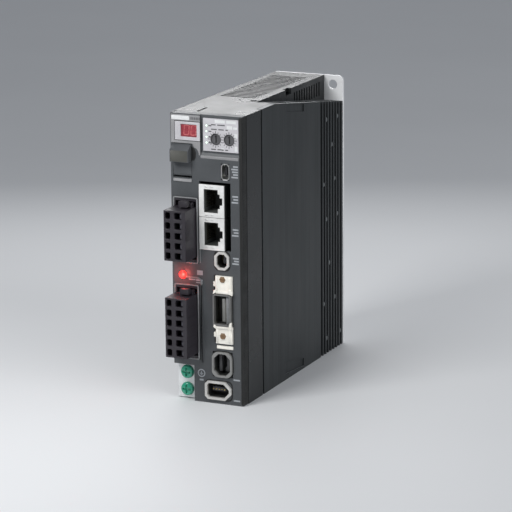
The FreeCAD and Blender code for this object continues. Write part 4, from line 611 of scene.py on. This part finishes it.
# scale rings round the address dials, rows of blank bars, pale patches, and the lamps with their dashes
def printLabel():
    look = labelLook
    low, high = reach("label_panel")
    near, far = low[1] - look["proud"], low[1] + 0.1

    def dark(shape):
        for side in ("left", "right"):
            x, z = middle("address_dial_" + side)
            for step in range(look["tickCount"]):
                angle = 2 * math.pi * step / look["tickCount"]
                along = Vector((math.sin(angle), math.cos(angle)))
                half = Vector((math.cos(angle), -math.sin(angle))) * look["tickWidth"] / 2
                start = along * look["tickInner"]
                end = along * (look["tickOuter"] + (look["longerTick"] if step % 4 == 0 else 0))
                corners = (start - half, start + half, end + half, end - half)
                prism(shape, [(x + corner.x, z + corner.y) for corner in corners], near, far)
        rows = ((high[2] - 3.1, (2.6, 4.2)), (high[2] - 5.4, (3.2, 3.0, 1.4)),
                (low[2] + 1.1, (2.6, 3.4, 1.6)))  # level, word widths
        for level, widths in rows:
            start = low[0] + look["rowStart"]
            for width in widths:
                mark(shape, start, level - look["rowHalf"], width, 2 * look["rowHalf"], near, far)
                start += width + look["wordGap"]
    piece("labelMarks", dark, "drive", "label_grey", material=extras["printDark"])

    def pale(shape):
        patches = ((5.2, high[2] - 1.3, 5.6, 1.5), (11.6, high[2] - 1.3, 5.2, 1.5),
                   (11.8, high[2] - 4.0, 3.0, 1.7), (15.4, high[2] - 4.2, 2.2, 1.1),
                   (15.9, low[2] + 8.6, 1.7, 2.2), (8.6, low[2] + 1.3, 1.5, 1.2),
                   (16.1, low[2] + 2.1, 1.5, 2.6))  # left, middle level, width, height
        for x, z, width, tall in patches:
            mark(shape, x, z - tall / 2, width, tall, near, far)
    piece("labelPatches", pale, "drive", "label_grey", material=extras["blankLabel"])
    lampLow, lampHigh = reach("status_lamps")
    lampX = middle("status_lamps")[0]
    lampRise = (lampHigh[2] - lampLow[2] - 2 * look["lampEnd"]) / (look["lampCount"] - 1)
    levels = [lampLow[2] + look["lampEnd"] + index * lampRise for index in range(look["lampCount"])]

    def lampDashes(shape):
        for z in levels:
            slab(shape, (lampX + look["dashNear"], lampX + look["dashFar"]), (near, far),
                 (z - look["dashHalf"], z + look["dashHalf"]))
    piece("lampMarks", lampDashes, "drive", "label_grey", material=extras["printDark"])
    lensProfile = ((0.55, 0), (0.55, 0.25), (0.4, 0.4), (0, 0.46))

    def lenses(shape):
        for z in levels:
            turned(shape, lampX, z, low[1] + 0.2, lensProfile, 16)
    piece("lampLenses", lenses, "drive", "clear_light_pipe", material=extras["litGreen"])


# low and high of each legend beside a port, and (left, middle level, width, height) of those by the lamp
legendSpans = ((118.6, 125.4), (105.6, 110.2), (88.6, 93.1), (74.0, 78.2), (12.6, 14.6), (1.7, 3.5))
lampLegends = ((-5.6, 68.3, 3.2, 2.4), (-6.2, 64.3, 3.6, 0.9), (-6.2, 63.0, 3.6, 0.5))
coverLook = {"printProud": 0.03, "rightMargin": 1.9, "lineHeight": 1.5, "lineHalf": 0.38,
             "lineWidths": (3.6, 2.6, 3.2), "earthX": -3.9, "earthZ": 15.3, "earthOuter": 2.15,
             "earthInner": 1.6, "flapStripLow": 115.0, "flapStripHigh": 116.5, "portStripLow": 29.5,
             "portStripHigh": 31.3, "ledgeBottom": 3.9, "ledgeTop": 2.5, "ledgeProud": 0.3}


# blank bars and the earth symbol printed on the cover, and its small strips and ledge
def printCover():
    look = coverLook
    near, far = faceY - look["printProud"], faceY + 0.1
    rightX = reach("front_cover")[1][0] - look["rightMargin"]

    def draw(shape):
        half = look["lineHalf"]
        for low, high in legendSpans:
            rows = max(1, round((high - low) / look["lineHeight"]))
            for row in range(rows):
                z = low + (row + 0.5) * (high - low) / rows
                width = look["lineWidths"][row % len(look["lineWidths"])]
                slab(shape, (rightX - width, rightX), (near, far), (z - half, z + half))
        lampLow, lampHigh = reach("charge_lamp")
        for x, z, width, tall in lampLegends:
            mark(shape, x, z - tall / 2, width, tall, near, far)
        slab(shape, (lampHigh[0] + 0.9, -6.6), (near, far), (lampLow[2] - 0.1, lampLow[2] + 0.5))
        x, z = look["earthX"], look["earthZ"]
        ring(shape, circleOutline(x, z, look["earthOuter"], 24), circleOutline(x, z, look["earthInner"], 24),
             near, far)
        slab(shape, (x - 0.18, x + 0.18), (near, far), (z - 0.1, z + 1.1))
        for drop, width in ((0.1, 2.0), (0.55, 1.3), (1.0, 0.6)):
            slab(shape, (x - width / 2, x + width / 2), (near, far), (z - drop - 0.15, z - drop + 0.15))
        slab(shape, (x - 1.1, x + 1.1), (near, far), (z - 4.0, z - 3.1))
    piece("coverMarks", draw, "drive", "label_grey", material=extras["printWhite"])
    flapLow, flapHigh = reach("port_flap")
    flapStrip = roundedOutline(flapLow[0] + 0.1, flapHigh[0] + 0.1, look["flapStripLow"],
                               look["flapStripHigh"], 0.4)
    piece("flapLedge", lambda shape: prism(shape, flapStrip, faceY - 0.45, faceY + 0.1), "drive",
          "cover_plastic", 0.12, extras["trimGrey"])
    postLow, postHigh = reach("signal_post_lower")
    portStrip = roundedOutline(postLow[0] + 1.3, postHigh[0], look["portStripLow"],
                               look["portStripHigh"], 0.3)
    piece("portStrip", lambda shape: prism(shape, portStrip, faceY - 0.5, faceY + 0.1), "drive",
          "ivory_plastic", 0.12)
    labelLow = reach("label_panel")[0]
    bottom, top = labelLow[2] - look["ledgeBottom"], labelLow[2] - look["ledgeTop"]
    proud = faceY - look["ledgeProud"]
    ledge = ((faceY - 0.02, bottom), (proud, bottom + 0.6), (proud, top - 0.2), (faceY - 0.02, top),
             (faceY + 0.3, top), (faceY + 0.3, bottom))
    ends = [[(x, y, z) for y, z in ledge] for x in (labelLow[0] - 1.4, rightX + 0.4)]
    piece("labelLedge", lambda shape: joined(shape, *ends), "drive", "cover_plastic",
          material=extras["trimGrey"])


edgeLook = {"frontWidth": 1.15, "ribPitch": 1.5, "ribHeight": 0.9, "ribStart": 2, "topGap": 0.4,
            "leftLow": 21, "leftCount": 30, "leftStart": 24, "leftPitch": 4, "leftHeight": 2.2}


# the dark ribbed strip that wraps the cover's right edge, and a plainer one on its left
def makeEdgeStrips():
    look = edgeLook
    coverLow, coverHigh = reach("front_cover")
    caseLow, caseHigh = reach("case_shell")
    backY, outX = caseLow[1] - 0.1, caseHigh[0] - 0.04
    front = faceY - 0.06
    top = coverHigh[2] - look["topGap"]

    def right(shape):
        rise = (coverLow[2] + 0.5, top)
        slab(shape, (coverHigh[0] - look["frontWidth"], outX - 0.05), (front, faceY + 0.5), rise)
        slab(shape, (coverHigh[0] - 0.2, outX - 0.12), (front + 0.3, backY), rise)
        for index in range(int((coverHigh[2] - 4) / look["ribPitch"])):
            z = coverLow[2] + look["ribStart"] + index * look["ribPitch"]
            slab(shape, (coverHigh[0] - 0.1, outX), (front + 1.4, backY - 0.3), (z, z + look["ribHeight"]))
    piece("ribbedEdge", right, "drive", "component_black", 0.06, extras["blackAndPaintedShade"], 1)

    def left(shape):
        slab(shape, (-outX, coverLow[0] + 0.1), (front + 0.9, backY), (look["leftLow"], top))
        for index in range(look["leftCount"]):
            z = look["leftStart"] + index * look["leftPitch"]
            slab(shape, (-outX - 0.02, -outX + 0.1), (front + 1.6, backY - 0.4), (z, z + look["leftHeight"]))
    piece("leftEdge", left, "drive", "component_black", 0.05, extras["blackAndPaintedShade"], 1)


# "relief" holds the outline of the painted shadow beside the grip
gripLook = {"low": 125.8, "high": 131.5, "inset": 0.35, "skin": 0.06, "shadowGap": 0.15,
            "relief": ((0, 126.2), (1.3, 126.2), (2.2, 127.6), (2.5, 130.2), (1.6, 132.4), (0, 133.4))}


# the olive face of the flap's grip, and a black patch beside it that is a painted shadow
def dressGrip():
    look = gripLook
    low, high = reach("port_flap")
    outline = roundedOutline(low[0] + look["inset"], high[0] - look["inset"], look["low"], look["high"], 0.6)
    piece("gripFace", lambda shape: prism(shape, outline, low[1] - look["skin"], low[1] + 0.3), "port_flap",
          "cover_plastic", 0.05, extras["gripOlive"])
    # the outline beside the grip is a painted cast shadow laid on the cover, not a recess
    relief = [(high[0] + look["shadowGap"] + x, z) for x, z in look["relief"]]
    piece("gripShadowPatch", lambda shape: prism(shape, relief, faceY - 0.05, faceY + 0.2), "drive",
          "cover_plastic", material=extras["blackAndPaintedShade"])


headerLook = {"lipProud": 0.3, "lipDeep": 0.5, "lipWidth": 0.75, "corner": 1.0, "innerCorner": 0.5,
              "ridgeX": -3.1, "ridgeHalf": 0.35, "arcInner": 2.2, "arcOuter": 3.0, "arcRise": 1.2,
              "arcSteps": 8, "arcReach": 6.5}


# a rounded lip round each terminal header, and the raised frame lines beside them, in pale grey as a painted
# edge highlight
def makeHeaderLips():
    look = headerLook
    ridgeX = look["ridgeX"]
    for name in ("mains", "motor"):
        outer = boxOutline(name + "_header", 0, look["corner"])
        inner = boxOutline(name + "_header", -look["lipWidth"], look["innerCorner"])
        near = reach(name + "_header")[0][1] - look["lipProud"]
        piece(name + "HeaderLip", lambda shape: ring(shape, outer, inner, near, near + look["lipDeep"]),
              "drive", "terminal_black", 0.14, extras["greyAndRimHighlight"])
    low, high = reach("motor_header")

    def drawArc(shape):
        inner, outer = look["arcInner"], look["arcOuter"]
        x, z = ridgeX + 0.4 - outer, high[2] + look["arcRise"]
        turns = [math.radians(90 * step / look["arcSteps"]) for step in range(look["arcSteps"] + 1)]
        points = [(x + outer * math.cos(turn), z + outer * math.sin(turn)) for turn in turns]
        points += [(low[0] + look["arcReach"], z + outer), (low[0] + look["arcReach"], z + inner)]
        points += [(x + inner * math.cos(turn), z + inner * math.sin(turn)) for turn in reversed(turns)]
        prism(shape, points, faceY - 0.5, faceY + 0.2)
    piece("headerFrameArc", drawArc, "drive", "cover_plastic", 0.12, extras["greyAndRimHighlight"])
    mainsLow, mainsHigh = reach("mains_header")
    uprights = (("headerFrameSide", ridgeX - look["ridgeHalf"], ridgeX + look["ridgeHalf"], low[2] - 1,
                 high[2] + 1.4, 0.6, 0.15),
                ("mainsFrameSide", mainsHigh[0] + 0.5, mainsHigh[0] + 1.0, mainsLow[2] + 0.5,
                 mainsHigh[2] - 1.5, 0.25, 0.1))  # left, right, low, high, how proud, edge
    for name, left, right, bottom, top, proud, edge in uprights:
        outline = roundedOutline(left, right, bottom, top, 0.1)
        piece(name, lambda shape: prism(shape, outline, faceY - proud, faceY + 0.1), "drive",
              "cover_plastic", edge, extras["greyAndRimHighlight"])


earthLook = {"headRadius": 3.75, "washerRadius": 3.6, "washerHeight": 0.35, "fromEnd": 3.3, "dome": 0.9,
             "cross": 4.6, "crossWidth": 1.0, "crossDepth": 1.1}


# domed heads on washers with a cross recess, in place of the plain screws
def makeEarthScrews():
    look = earthLook
    low, high = reach("earth_screws")
    plateY = reach("earth_plate")[0][1]
    middleX = middle("earth_screws")[0]
    radius, dome, top = look["headRadius"], look["dome"], plateY - low[1]
    half, thin = look["cross"] / 2, look["crossWidth"] / 2
    cross = [(-half, -thin), (-thin, -thin), (-thin, -half), (thin, -half), (thin, -thin), (half, -thin),
             (half, thin), (thin, thin), (thin, half), (-thin, half), (-thin, thin), (-half, thin)]
    profile = [(0, -0.5), (look["washerRadius"], -0.5), (look["washerRadius"], look["washerHeight"]),
               (radius - 0.35, 0.45), (radius - 0.4, top - dome)]
    for degrees in (12, 30, 48, 66, 80):
        angle = math.radians(degrees)
        profile.append(((radius - 0.45) * math.cos(angle), top - dome + dome * math.sin(angle)))
    profile.append((0, top))
    for name, z in (("upper", high[2] - look["fromEnd"]), ("lower", low[2] + look["fromEnd"])):
        outline = [(middleX + x, z + up) for x, up in cross]
        head = meshFrom(name + "EarthScrew", lambda shape: turned(shape, middleX, z, plateY, profile, 40))
        recess = meshFrom("recess", lambda shape: prism(shape, outline, plateY - top - 1,
                                                        plateY - top + look["crossDepth"]))
        mesh = bevelled(carved(head, recess), 0.12)
        smoothByAngle(mesh, 40)
        head = placePiece(name + "EarthScrew", mesh, "drive", "green_screw")
        if name == "upper":
            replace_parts(head, "earth_screws")


chargeLook = {"collar": 0.45, "glowPower": 0.0034, "glowReach": 2.6, "glowColor": (1, 0.1, 0.08),
              "glowRadius": 1.2, "steps": 40}


# the charge lamp: a domed lit lens in a thin collar, and the glow it throws on the cover
def makeChargeLamp():
    look = chargeLook
    low, high = reach("charge_lamp")
    x, z = middle("charge_lamp")
    radius, rise, back = (high[0] - low[0]) / 2, faceY - low[1], faceY - high[1]
    profile = [(0, back), (radius, back), (radius, -0.1)]
    for degrees in (8, 20, 34, 48, 62, 76):
        angle = math.radians(degrees)
        profile.append((radius * math.cos(angle), rise * math.sin(angle)))
    profile.append((0, rise))
    lens = piece("chargeLens", lambda shape: turned(shape, x, z, faceY, profile, look["steps"]), "drive",
                 "red_lens", material=extras["litRed"])
    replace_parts(lens, "charge_lamp")
    outer = circleOutline(x, z, radius + look["collar"], look["steps"])
    inner = circleOutline(x, z, radius, look["steps"])
    piece("chargeCollar", lambda shape: ring(shape, outer, inner, faceY - 0.2, faceY + 0.2), "drive",
          "cover_plastic", 0.08)
    data = bpy.data.lights.new("chargeGlow", "POINT")
    data.energy = look["glowPower"]
    data.color = look["glowColor"]
    data.shadow_soft_size = look["glowRadius"] * mm
    glow = bpy.data.objects.new("chargeGlow", data)
    bpy.context.scene.collection.objects.link(glow)
    glow.location = (x * mm, (low[1] - look["glowReach"]) * mm, z * mm)


portLook = {"blockRecess": 2.4, "floor": 7.2, "scaleApart": 2.2, "scaleHalf": 4.2, "scaleRows": 5,
            "contactPitch": 1.6, "encoderContacts": 5, "encoderAside": 0.4, "encoderFirst": 3.6,
            "signalContacts": 13, "contactHalf": 0.22, "signalEnd": 0.6, "shadowWidth": 0.55,
            "shadowCorner": {"safety": 2.6, "scale": 3.8, "encoder": 2.6}}


# what is inside the sockets: keyed blocks, contact rows and jack springs; and dark rings round the shells
def dressPorts():
    look = portLook
    near, floor = faceY + look["blockRecess"], faceY + look["floor"]
    scaleX, scaleZ = middle("scale_port_shell")

    def scaleBlock(shape):
        for side in (-1, 1):
            centre = scaleX + side * look["scaleApart"]
            slab(shape, (centre - 0.75, centre + 0.75), (near, floor),
                 (scaleZ - look["scaleHalf"], scaleZ + look["scaleHalf"]))
            for row in range(look["scaleRows"]):
                z = scaleZ - 3.2 + row * look["contactPitch"]
                slab(shape, (centre - 1.0, centre - 0.7), (near + 0.3, floor), (z - 0.35, z + 0.35))
        slab(shape, (scaleX - 0.5, scaleX + 0.5), (near + 2, floor), (scaleZ - 4.8, scaleZ - 2.4))
    piece("scaleInsert", scaleBlock, "drive", "component_black", 0.1, extras["printDark"])
    encoderX, encoderZ = middle("encoder_port_shell")
    encoderX -= look["encoderAside"]
    contactsX = [encoderX - look["encoderFirst"] + index * look["contactPitch"]
                 for index in range(look["encoderContacts"])]

    def encoderBlock(shape):
        slab(shape, (encoderX - 4.2, encoderX + 3.4), (near, floor), (encoderZ - 1.0, encoderZ + 1.0))
        for x in contactsX:
            slab(shape, (x - 0.3, x + 0.3), (near - 0.2, floor), (encoderZ + 0.8, encoderZ + 1.3))
    piece("encoderInsert", encoderBlock, "drive", "component_black", 0.08, extras["printDark"])

    def encoderDots(shape):
        for x in contactsX:
            slab(shape, (x - 0.22, x + 0.22), (faceY + 2.1, faceY + 3), (encoderZ - 0.35, encoderZ + 0.35))
    piece("encoderContacts", encoderDots, "drive", "gold_contact", 0.05)
    low, high = reach("signal_port_tongue")
    shellLow, shellHigh = reach("signal_port_shell")

    def signalRows(shape):
        count, end, half = look["signalContacts"], look["signalEnd"], look["contactHalf"]
        for index in range(count):
            z = low[2] + end + index * (high[2] - low[2] - 2 * end) / (count - 1)
            for x in (low[0] - 0.12, high[0] - 0.1):
                slab(shape, (x, x + 0.22), (low[1] + 0.5, high[1]), (z - half, z + half))
    piece("signalContacts", signalRows, "drive", "gold_contact")
    filler = ((high[0] + 0.35, shellHigh[0] - 0.75), (shellLow[1] + 0.9, high[1]),
              (shellLow[2] + 0.9, shellHigh[2] - 0.9))
    piece("signalFiller", lambda shape: slab(shape, *filler), "drive", "cover_plastic", 0.2,
          extras["greyAndRimHighlight"])
    for name in ("upper", "lower"):
        jackLow, jackHigh = reach("network_jack_" + name)

        def springs(shape):
            for z in (jackLow[2] + 1.1, jackHigh[2] - 1.1):
                for x in (jackLow[0] + 3.4, jackLow[0] + 6.6):
                    slab(shape, (x, x + 1.5), (jackLow[1] - 0.12, jackLow[1] + 0.1), (z - 0.35, z + 0.35))
        piece(name + "JackSprings", springs, "drive", "nickel_shell", 0.08)

    def safetyInsert(shape):
        x, z = middle("safety_port_shell")
        slab(shape, (x - 0.7, x + 0.7), (faceY + 3, floor), (z - 2.0, z + 2.0))
        slab(shape, (x + 0.6, x + 1.1), (faceY + 3.4, floor), (z - 1.0, z + 1.0))
    piece("safetyInsert", safetyInsert, "drive", "component_black", 0.1, extras["printDark"])
    for name, corner in look["shadowCorner"].items():
        outer = boxOutline(name + "_port_shell", look["shadowWidth"], corner)
        inner = boxOutline(name + "_port_shell", -0.2, corner - 0.6)
        piece(name + "PortShadow", lambda shape: ring(shape, outer, inner, faceY - 0.04, faceY + 0.2),
              "drive", "component_black", material=extras["blackAndPaintedShade"])


postLook = {"lug": 1.3, "stepTall": 1.5, "stepProud": 0.35, "padProud": 0.3, "padWidth": 1.2,
            "padMargin": 0.6, "hornProud": 0.75, "seatFromTop": 1.7, "seatBelow": 0.5,
            "seat": ((1.75, -0.3), (1.75, 0.12), (1.35, 0.2), (1.35, -0.3))}
postHorns = {"upper": (((3.9, 58.3), (5.7, 59.3), (5.7, 61.0), (4.4, 60.4)),
                       ((12.3, 59.3), (14.8, 58.2), (15.0, 59.9), (13.9, 61.2), (12.3, 61.2))),
             "lower": (((12.2, 40.8), (14.2, 40.0), (14.3, 44.3), (13.3, 43.9), (12.7, 42.2)),
                       ((5.4, 40.2), (5.6, 42.0), (4.3, 42.6), (4.1, 41.2)))}


# steps, pads, horns and hex seats on the ivory posts above and below the signal port
def dressPosts():
    look = postLook
    screwX = middle("signal_post_screws")[0]
    for name in ("upper", "lower"):
        low, high = reach("signal_post_" + name)
        bodyLow = low[0] + look["lug"]
        if name == "upper":
            step = (low[2], low[2] + look["stepTall"])
            seatZ = high[2] - look["seatFromTop"]
        else:
            step = (high[2] - look["stepTall"], high[2])
            seatZ = middle("signal_post_lower")[1] - look["seatBelow"]

        def draw(shape):
            padY = (low[1] - look["padProud"], low[1] + 0.5)
            padZ = (low[2] + look["padMargin"], high[2] - look["padMargin"])
            slab(shape, (bodyLow + 0.2, high[0] + 0.35), (low[1] - look["stepProud"], low[1] + 1), step)
            for x in (bodyLow + 0.3, high[0] - 1.7):
                slab(shape, (x, x + look["padWidth"]), padY, padZ)
            for horn in postHorns[name]:
                prism(shape, horn, low[1] - look["hornProud"], low[1] + 0.4)
        piece(name + "PostSteps", draw, "drive", "ivory_plastic", 0.15)
        piece(name + "PostSeat", lambda shape: turned(shape, screwX, seatZ, low[1], look["seat"], 6),
              "drive", "plated_steel", 0.04, extras["screwBrown"])


plugLook = {"leverDepth": 0.7, "leverTop": 4.6, "leverFoot": 7.6, "leverHalf": 1.3,
            "leverX": (-11.0, -9.0, -7.8), "openingHalf": 1.9, "rimWidth": 0.15, "rimDepth": 1.4,
            "wireColumn": (-17.0, -13.9), "releaseColumn": (-11.9, -7.5), "clampHalf": 1.8,
            "lineHalf": 0.25}


# rounded rims in the plugs' openings, a sloped lever in each right-hand one, lines on their sides
def dressPlugs():
    look = plugLook
    for name, rows in (("mains", 5), ("motor", 6)):
        low, high = reach(name + "_plug")
        clampLow, clampHigh = reach(name + "_clamps")
        first, last = clampLow[2] + look["clampHalf"], clampHigh[2] - look["clampHalf"]
        pitch = (last - first) / (rows - 1)
        levels = [first + pitch * index for index in range(rows)]

        def rims(shape):
            half, wide = look["openingHalf"], look["rimWidth"]
            for z in levels:
                for left, right in (look["wireColumn"], look["releaseColumn"]):
                    outer = roundedOutline(left - 0.05, right + 0.05, z - half - 0.05, z + half + 0.05, 0.08)
                    inner = roundedOutline(left + wide, right - wide, z - half + wide, z + half - wide, 0.8)
                    ring(shape, outer, inner, low[1] + 0.03, low[1] + look["rimDepth"])
        piece(name + "PlugRims", rims, name + "_plug", "terminal_black", 0.14)

        def levers(shape):
            near, foot = low[1] + look["leverDepth"], low[1] + look["leverFoot"]
            left, middle, right = look["leverX"]
            profile = ((right, near), (middle, near + 0.4), (left, low[1] + look["leverTop"]), (left, foot),
                       (right, foot))
            for z in levels:
                joined(shape, *([(x, y, z + side) for x, y in profile]
                                for side in (-look["leverHalf"], look["leverHalf"])))
        piece(name + "PlugLevers", levers, name + "_plug", "terminal_black", 0.12, extras["leverGrey"])

        def sideLines(shape):
            for z in levels[:-1]:
                middle = z + pitch / 2
                for x in (high[0] - 0.05, low[0] - 0.06):
                    slab(shape, (x, x + 0.12), (low[1] + 1.2, low[1] + 11),
                         (middle - look["lineHalf"], middle + look["lineHalf"]))
        piece(name + "PlugRibs", sideLines, name + "_plug", "terminal_black")


# the fin gap, counted from the front, and the height of each boss
bossPlaces = ((0, 94.9), (0, 28.5), (1, 75.1), (1, 129.8), (1, 8.4), (2, 50.2), (3, 115), (4, 95.6),
              (4, 29.2), (5, 129.2), (5, 75.2), (6, 8))
sinkLook = {"bossRadius": 1.15, "topRadius": 0.92, "inset": 0.4, "bossProud": 0.12, "steps": 20,
            "firstGap": 45.175, "finPitch": 3.75}


# bright ejector ends on the bosses between the fins
def dressHeatsink():
    look = sinkLook
    rootX = reach("heatsink")[1][0] - look["inset"]
    steps = look["steps"]

    def draw(shape):
        for gap, z in bossPlaces:
            y = look["firstGap"] + gap * look["finPitch"]
            rim, top = ([vertex(shape, x, across, up) for across, up in circleOutline(y, z, radius, steps)]
                        for x, radius in ((rootX, look["bossRadius"]),
                                          (rootX + look["bossProud"], look["topRadius"])))
            shape.faces.new(top)
            for step in range(steps):
                following = (step + 1) % steps
                shape.faces.new((rim[step], rim[following], top[following], top[step]))
    piece("bossEnds", draw, "drive", "anodised_aluminium", material=extras["bossGrey"])


dressDisplay()
makeDigits()
printLabel()
printCover()
makeEdgeStrips()
dressGrip()
makeHeaderLips()
print("cover dressed")
makeEarthScrews()
makeChargeLamp()
dressPorts()
dressPosts()
dressPlugs()
print("ports and plugs dressed")
dressHeatsink()
print("sides dressed")

stageLook = {"keyPlace": (-0.1, -0.3, 0.36), "keySize": 0.16, "keyPower": 1.1,
             "fillPlace": (1.5, -0.6, 0.75), "fillSize": 1.2, "fillPower": 11.5,
             "panelPlace": (-0.19, 0.36, 0.28), "panelSize": 0.5, "panelHeight": 0.05, "panelPower": 0.6,
             "panelTarget": (0, -0.05, 0.15),
             "skyColor": (0.84, 0.88, 0.95), "skyStrength": 0.32, "floorSize": 8}


def areaLight(name, place, size, power, target=(0, 0, 0.075), height=None):
    data = bpy.data.lights.new(name, "AREA")
    data.shape = "RECTANGLE"
    data.size = size
    data.size_y = height or size
    data.energy = power
    lamp = bpy.data.objects.new(name, data)
    bpy.context.scene.collection.objects.link(lamp)
    lamp.location = place
    aim = Vector(target) - Vector(place)
    lamp.rotation_euler = aim.to_track_quat("-Z", "Y").to_euler()


def makeStage():
    look = stageLook
    half = look["floorSize"] / 2
    mesh = bpy.data.meshes.new("floor")
    corners = [(-half, -half, 0), (half, -half, 0), (half, half, 0), (-half, half, 0)]
    mesh.from_pydata(corners, [], [(0, 1, 2, 3)])
    mesh.materials.append(paleFloor())
    floor = bpy.data.objects.new("floor", mesh)
    bpy.context.scene.collection.objects.link(floor)
    areaLight("key", look["keyPlace"], look["keySize"], look["keyPower"])
    areaLight("fill", look["fillPlace"], look["fillSize"], look["fillPower"])
    areaLight("panel", look["panelPlace"], look["panelSize"], look["panelPower"], look["panelTarget"],
              look["panelHeight"])
    world = bpy.data.worlds.new("studio")
    world.use_nodes = True
    world.node_tree.nodes["Background"].inputs["Color"].default_value = (*look["skyColor"], 1)
    world.node_tree.nodes["Background"].inputs["Strength"].default_value = look["skyStrength"]
    bpy.context.scene.world = world
    bpy.context.scene.view_settings.view_transform = "Standard"


cameraLook = {"place": (0.55337, -1.20202, 0.38966), "turn": 24.72, "dip": 13.83, "roll": -0.485,
              "lens": 181.5}


def makeCamera():
    look = cameraLook
    data = bpy.data.cameras.new("camera")
    data.lens = look["lens"]
    camera = bpy.data.objects.new("camera", data)
    bpy.context.scene.collection.objects.link(camera)
    camera.matrix_world = (Matrix.Translation(look["place"])
                           @ Matrix.Rotation(math.radians(look["turn"]), 4, "Z")
                           @ Matrix.Rotation(math.radians(90 - look["dip"]), 4, "X")
                           @ Matrix.Rotation(math.radians(look["roll"]), 4, "Z"))
    bpy.context.scene.camera = camera


makeStage()
makeCamera()
print("stage and camera set")
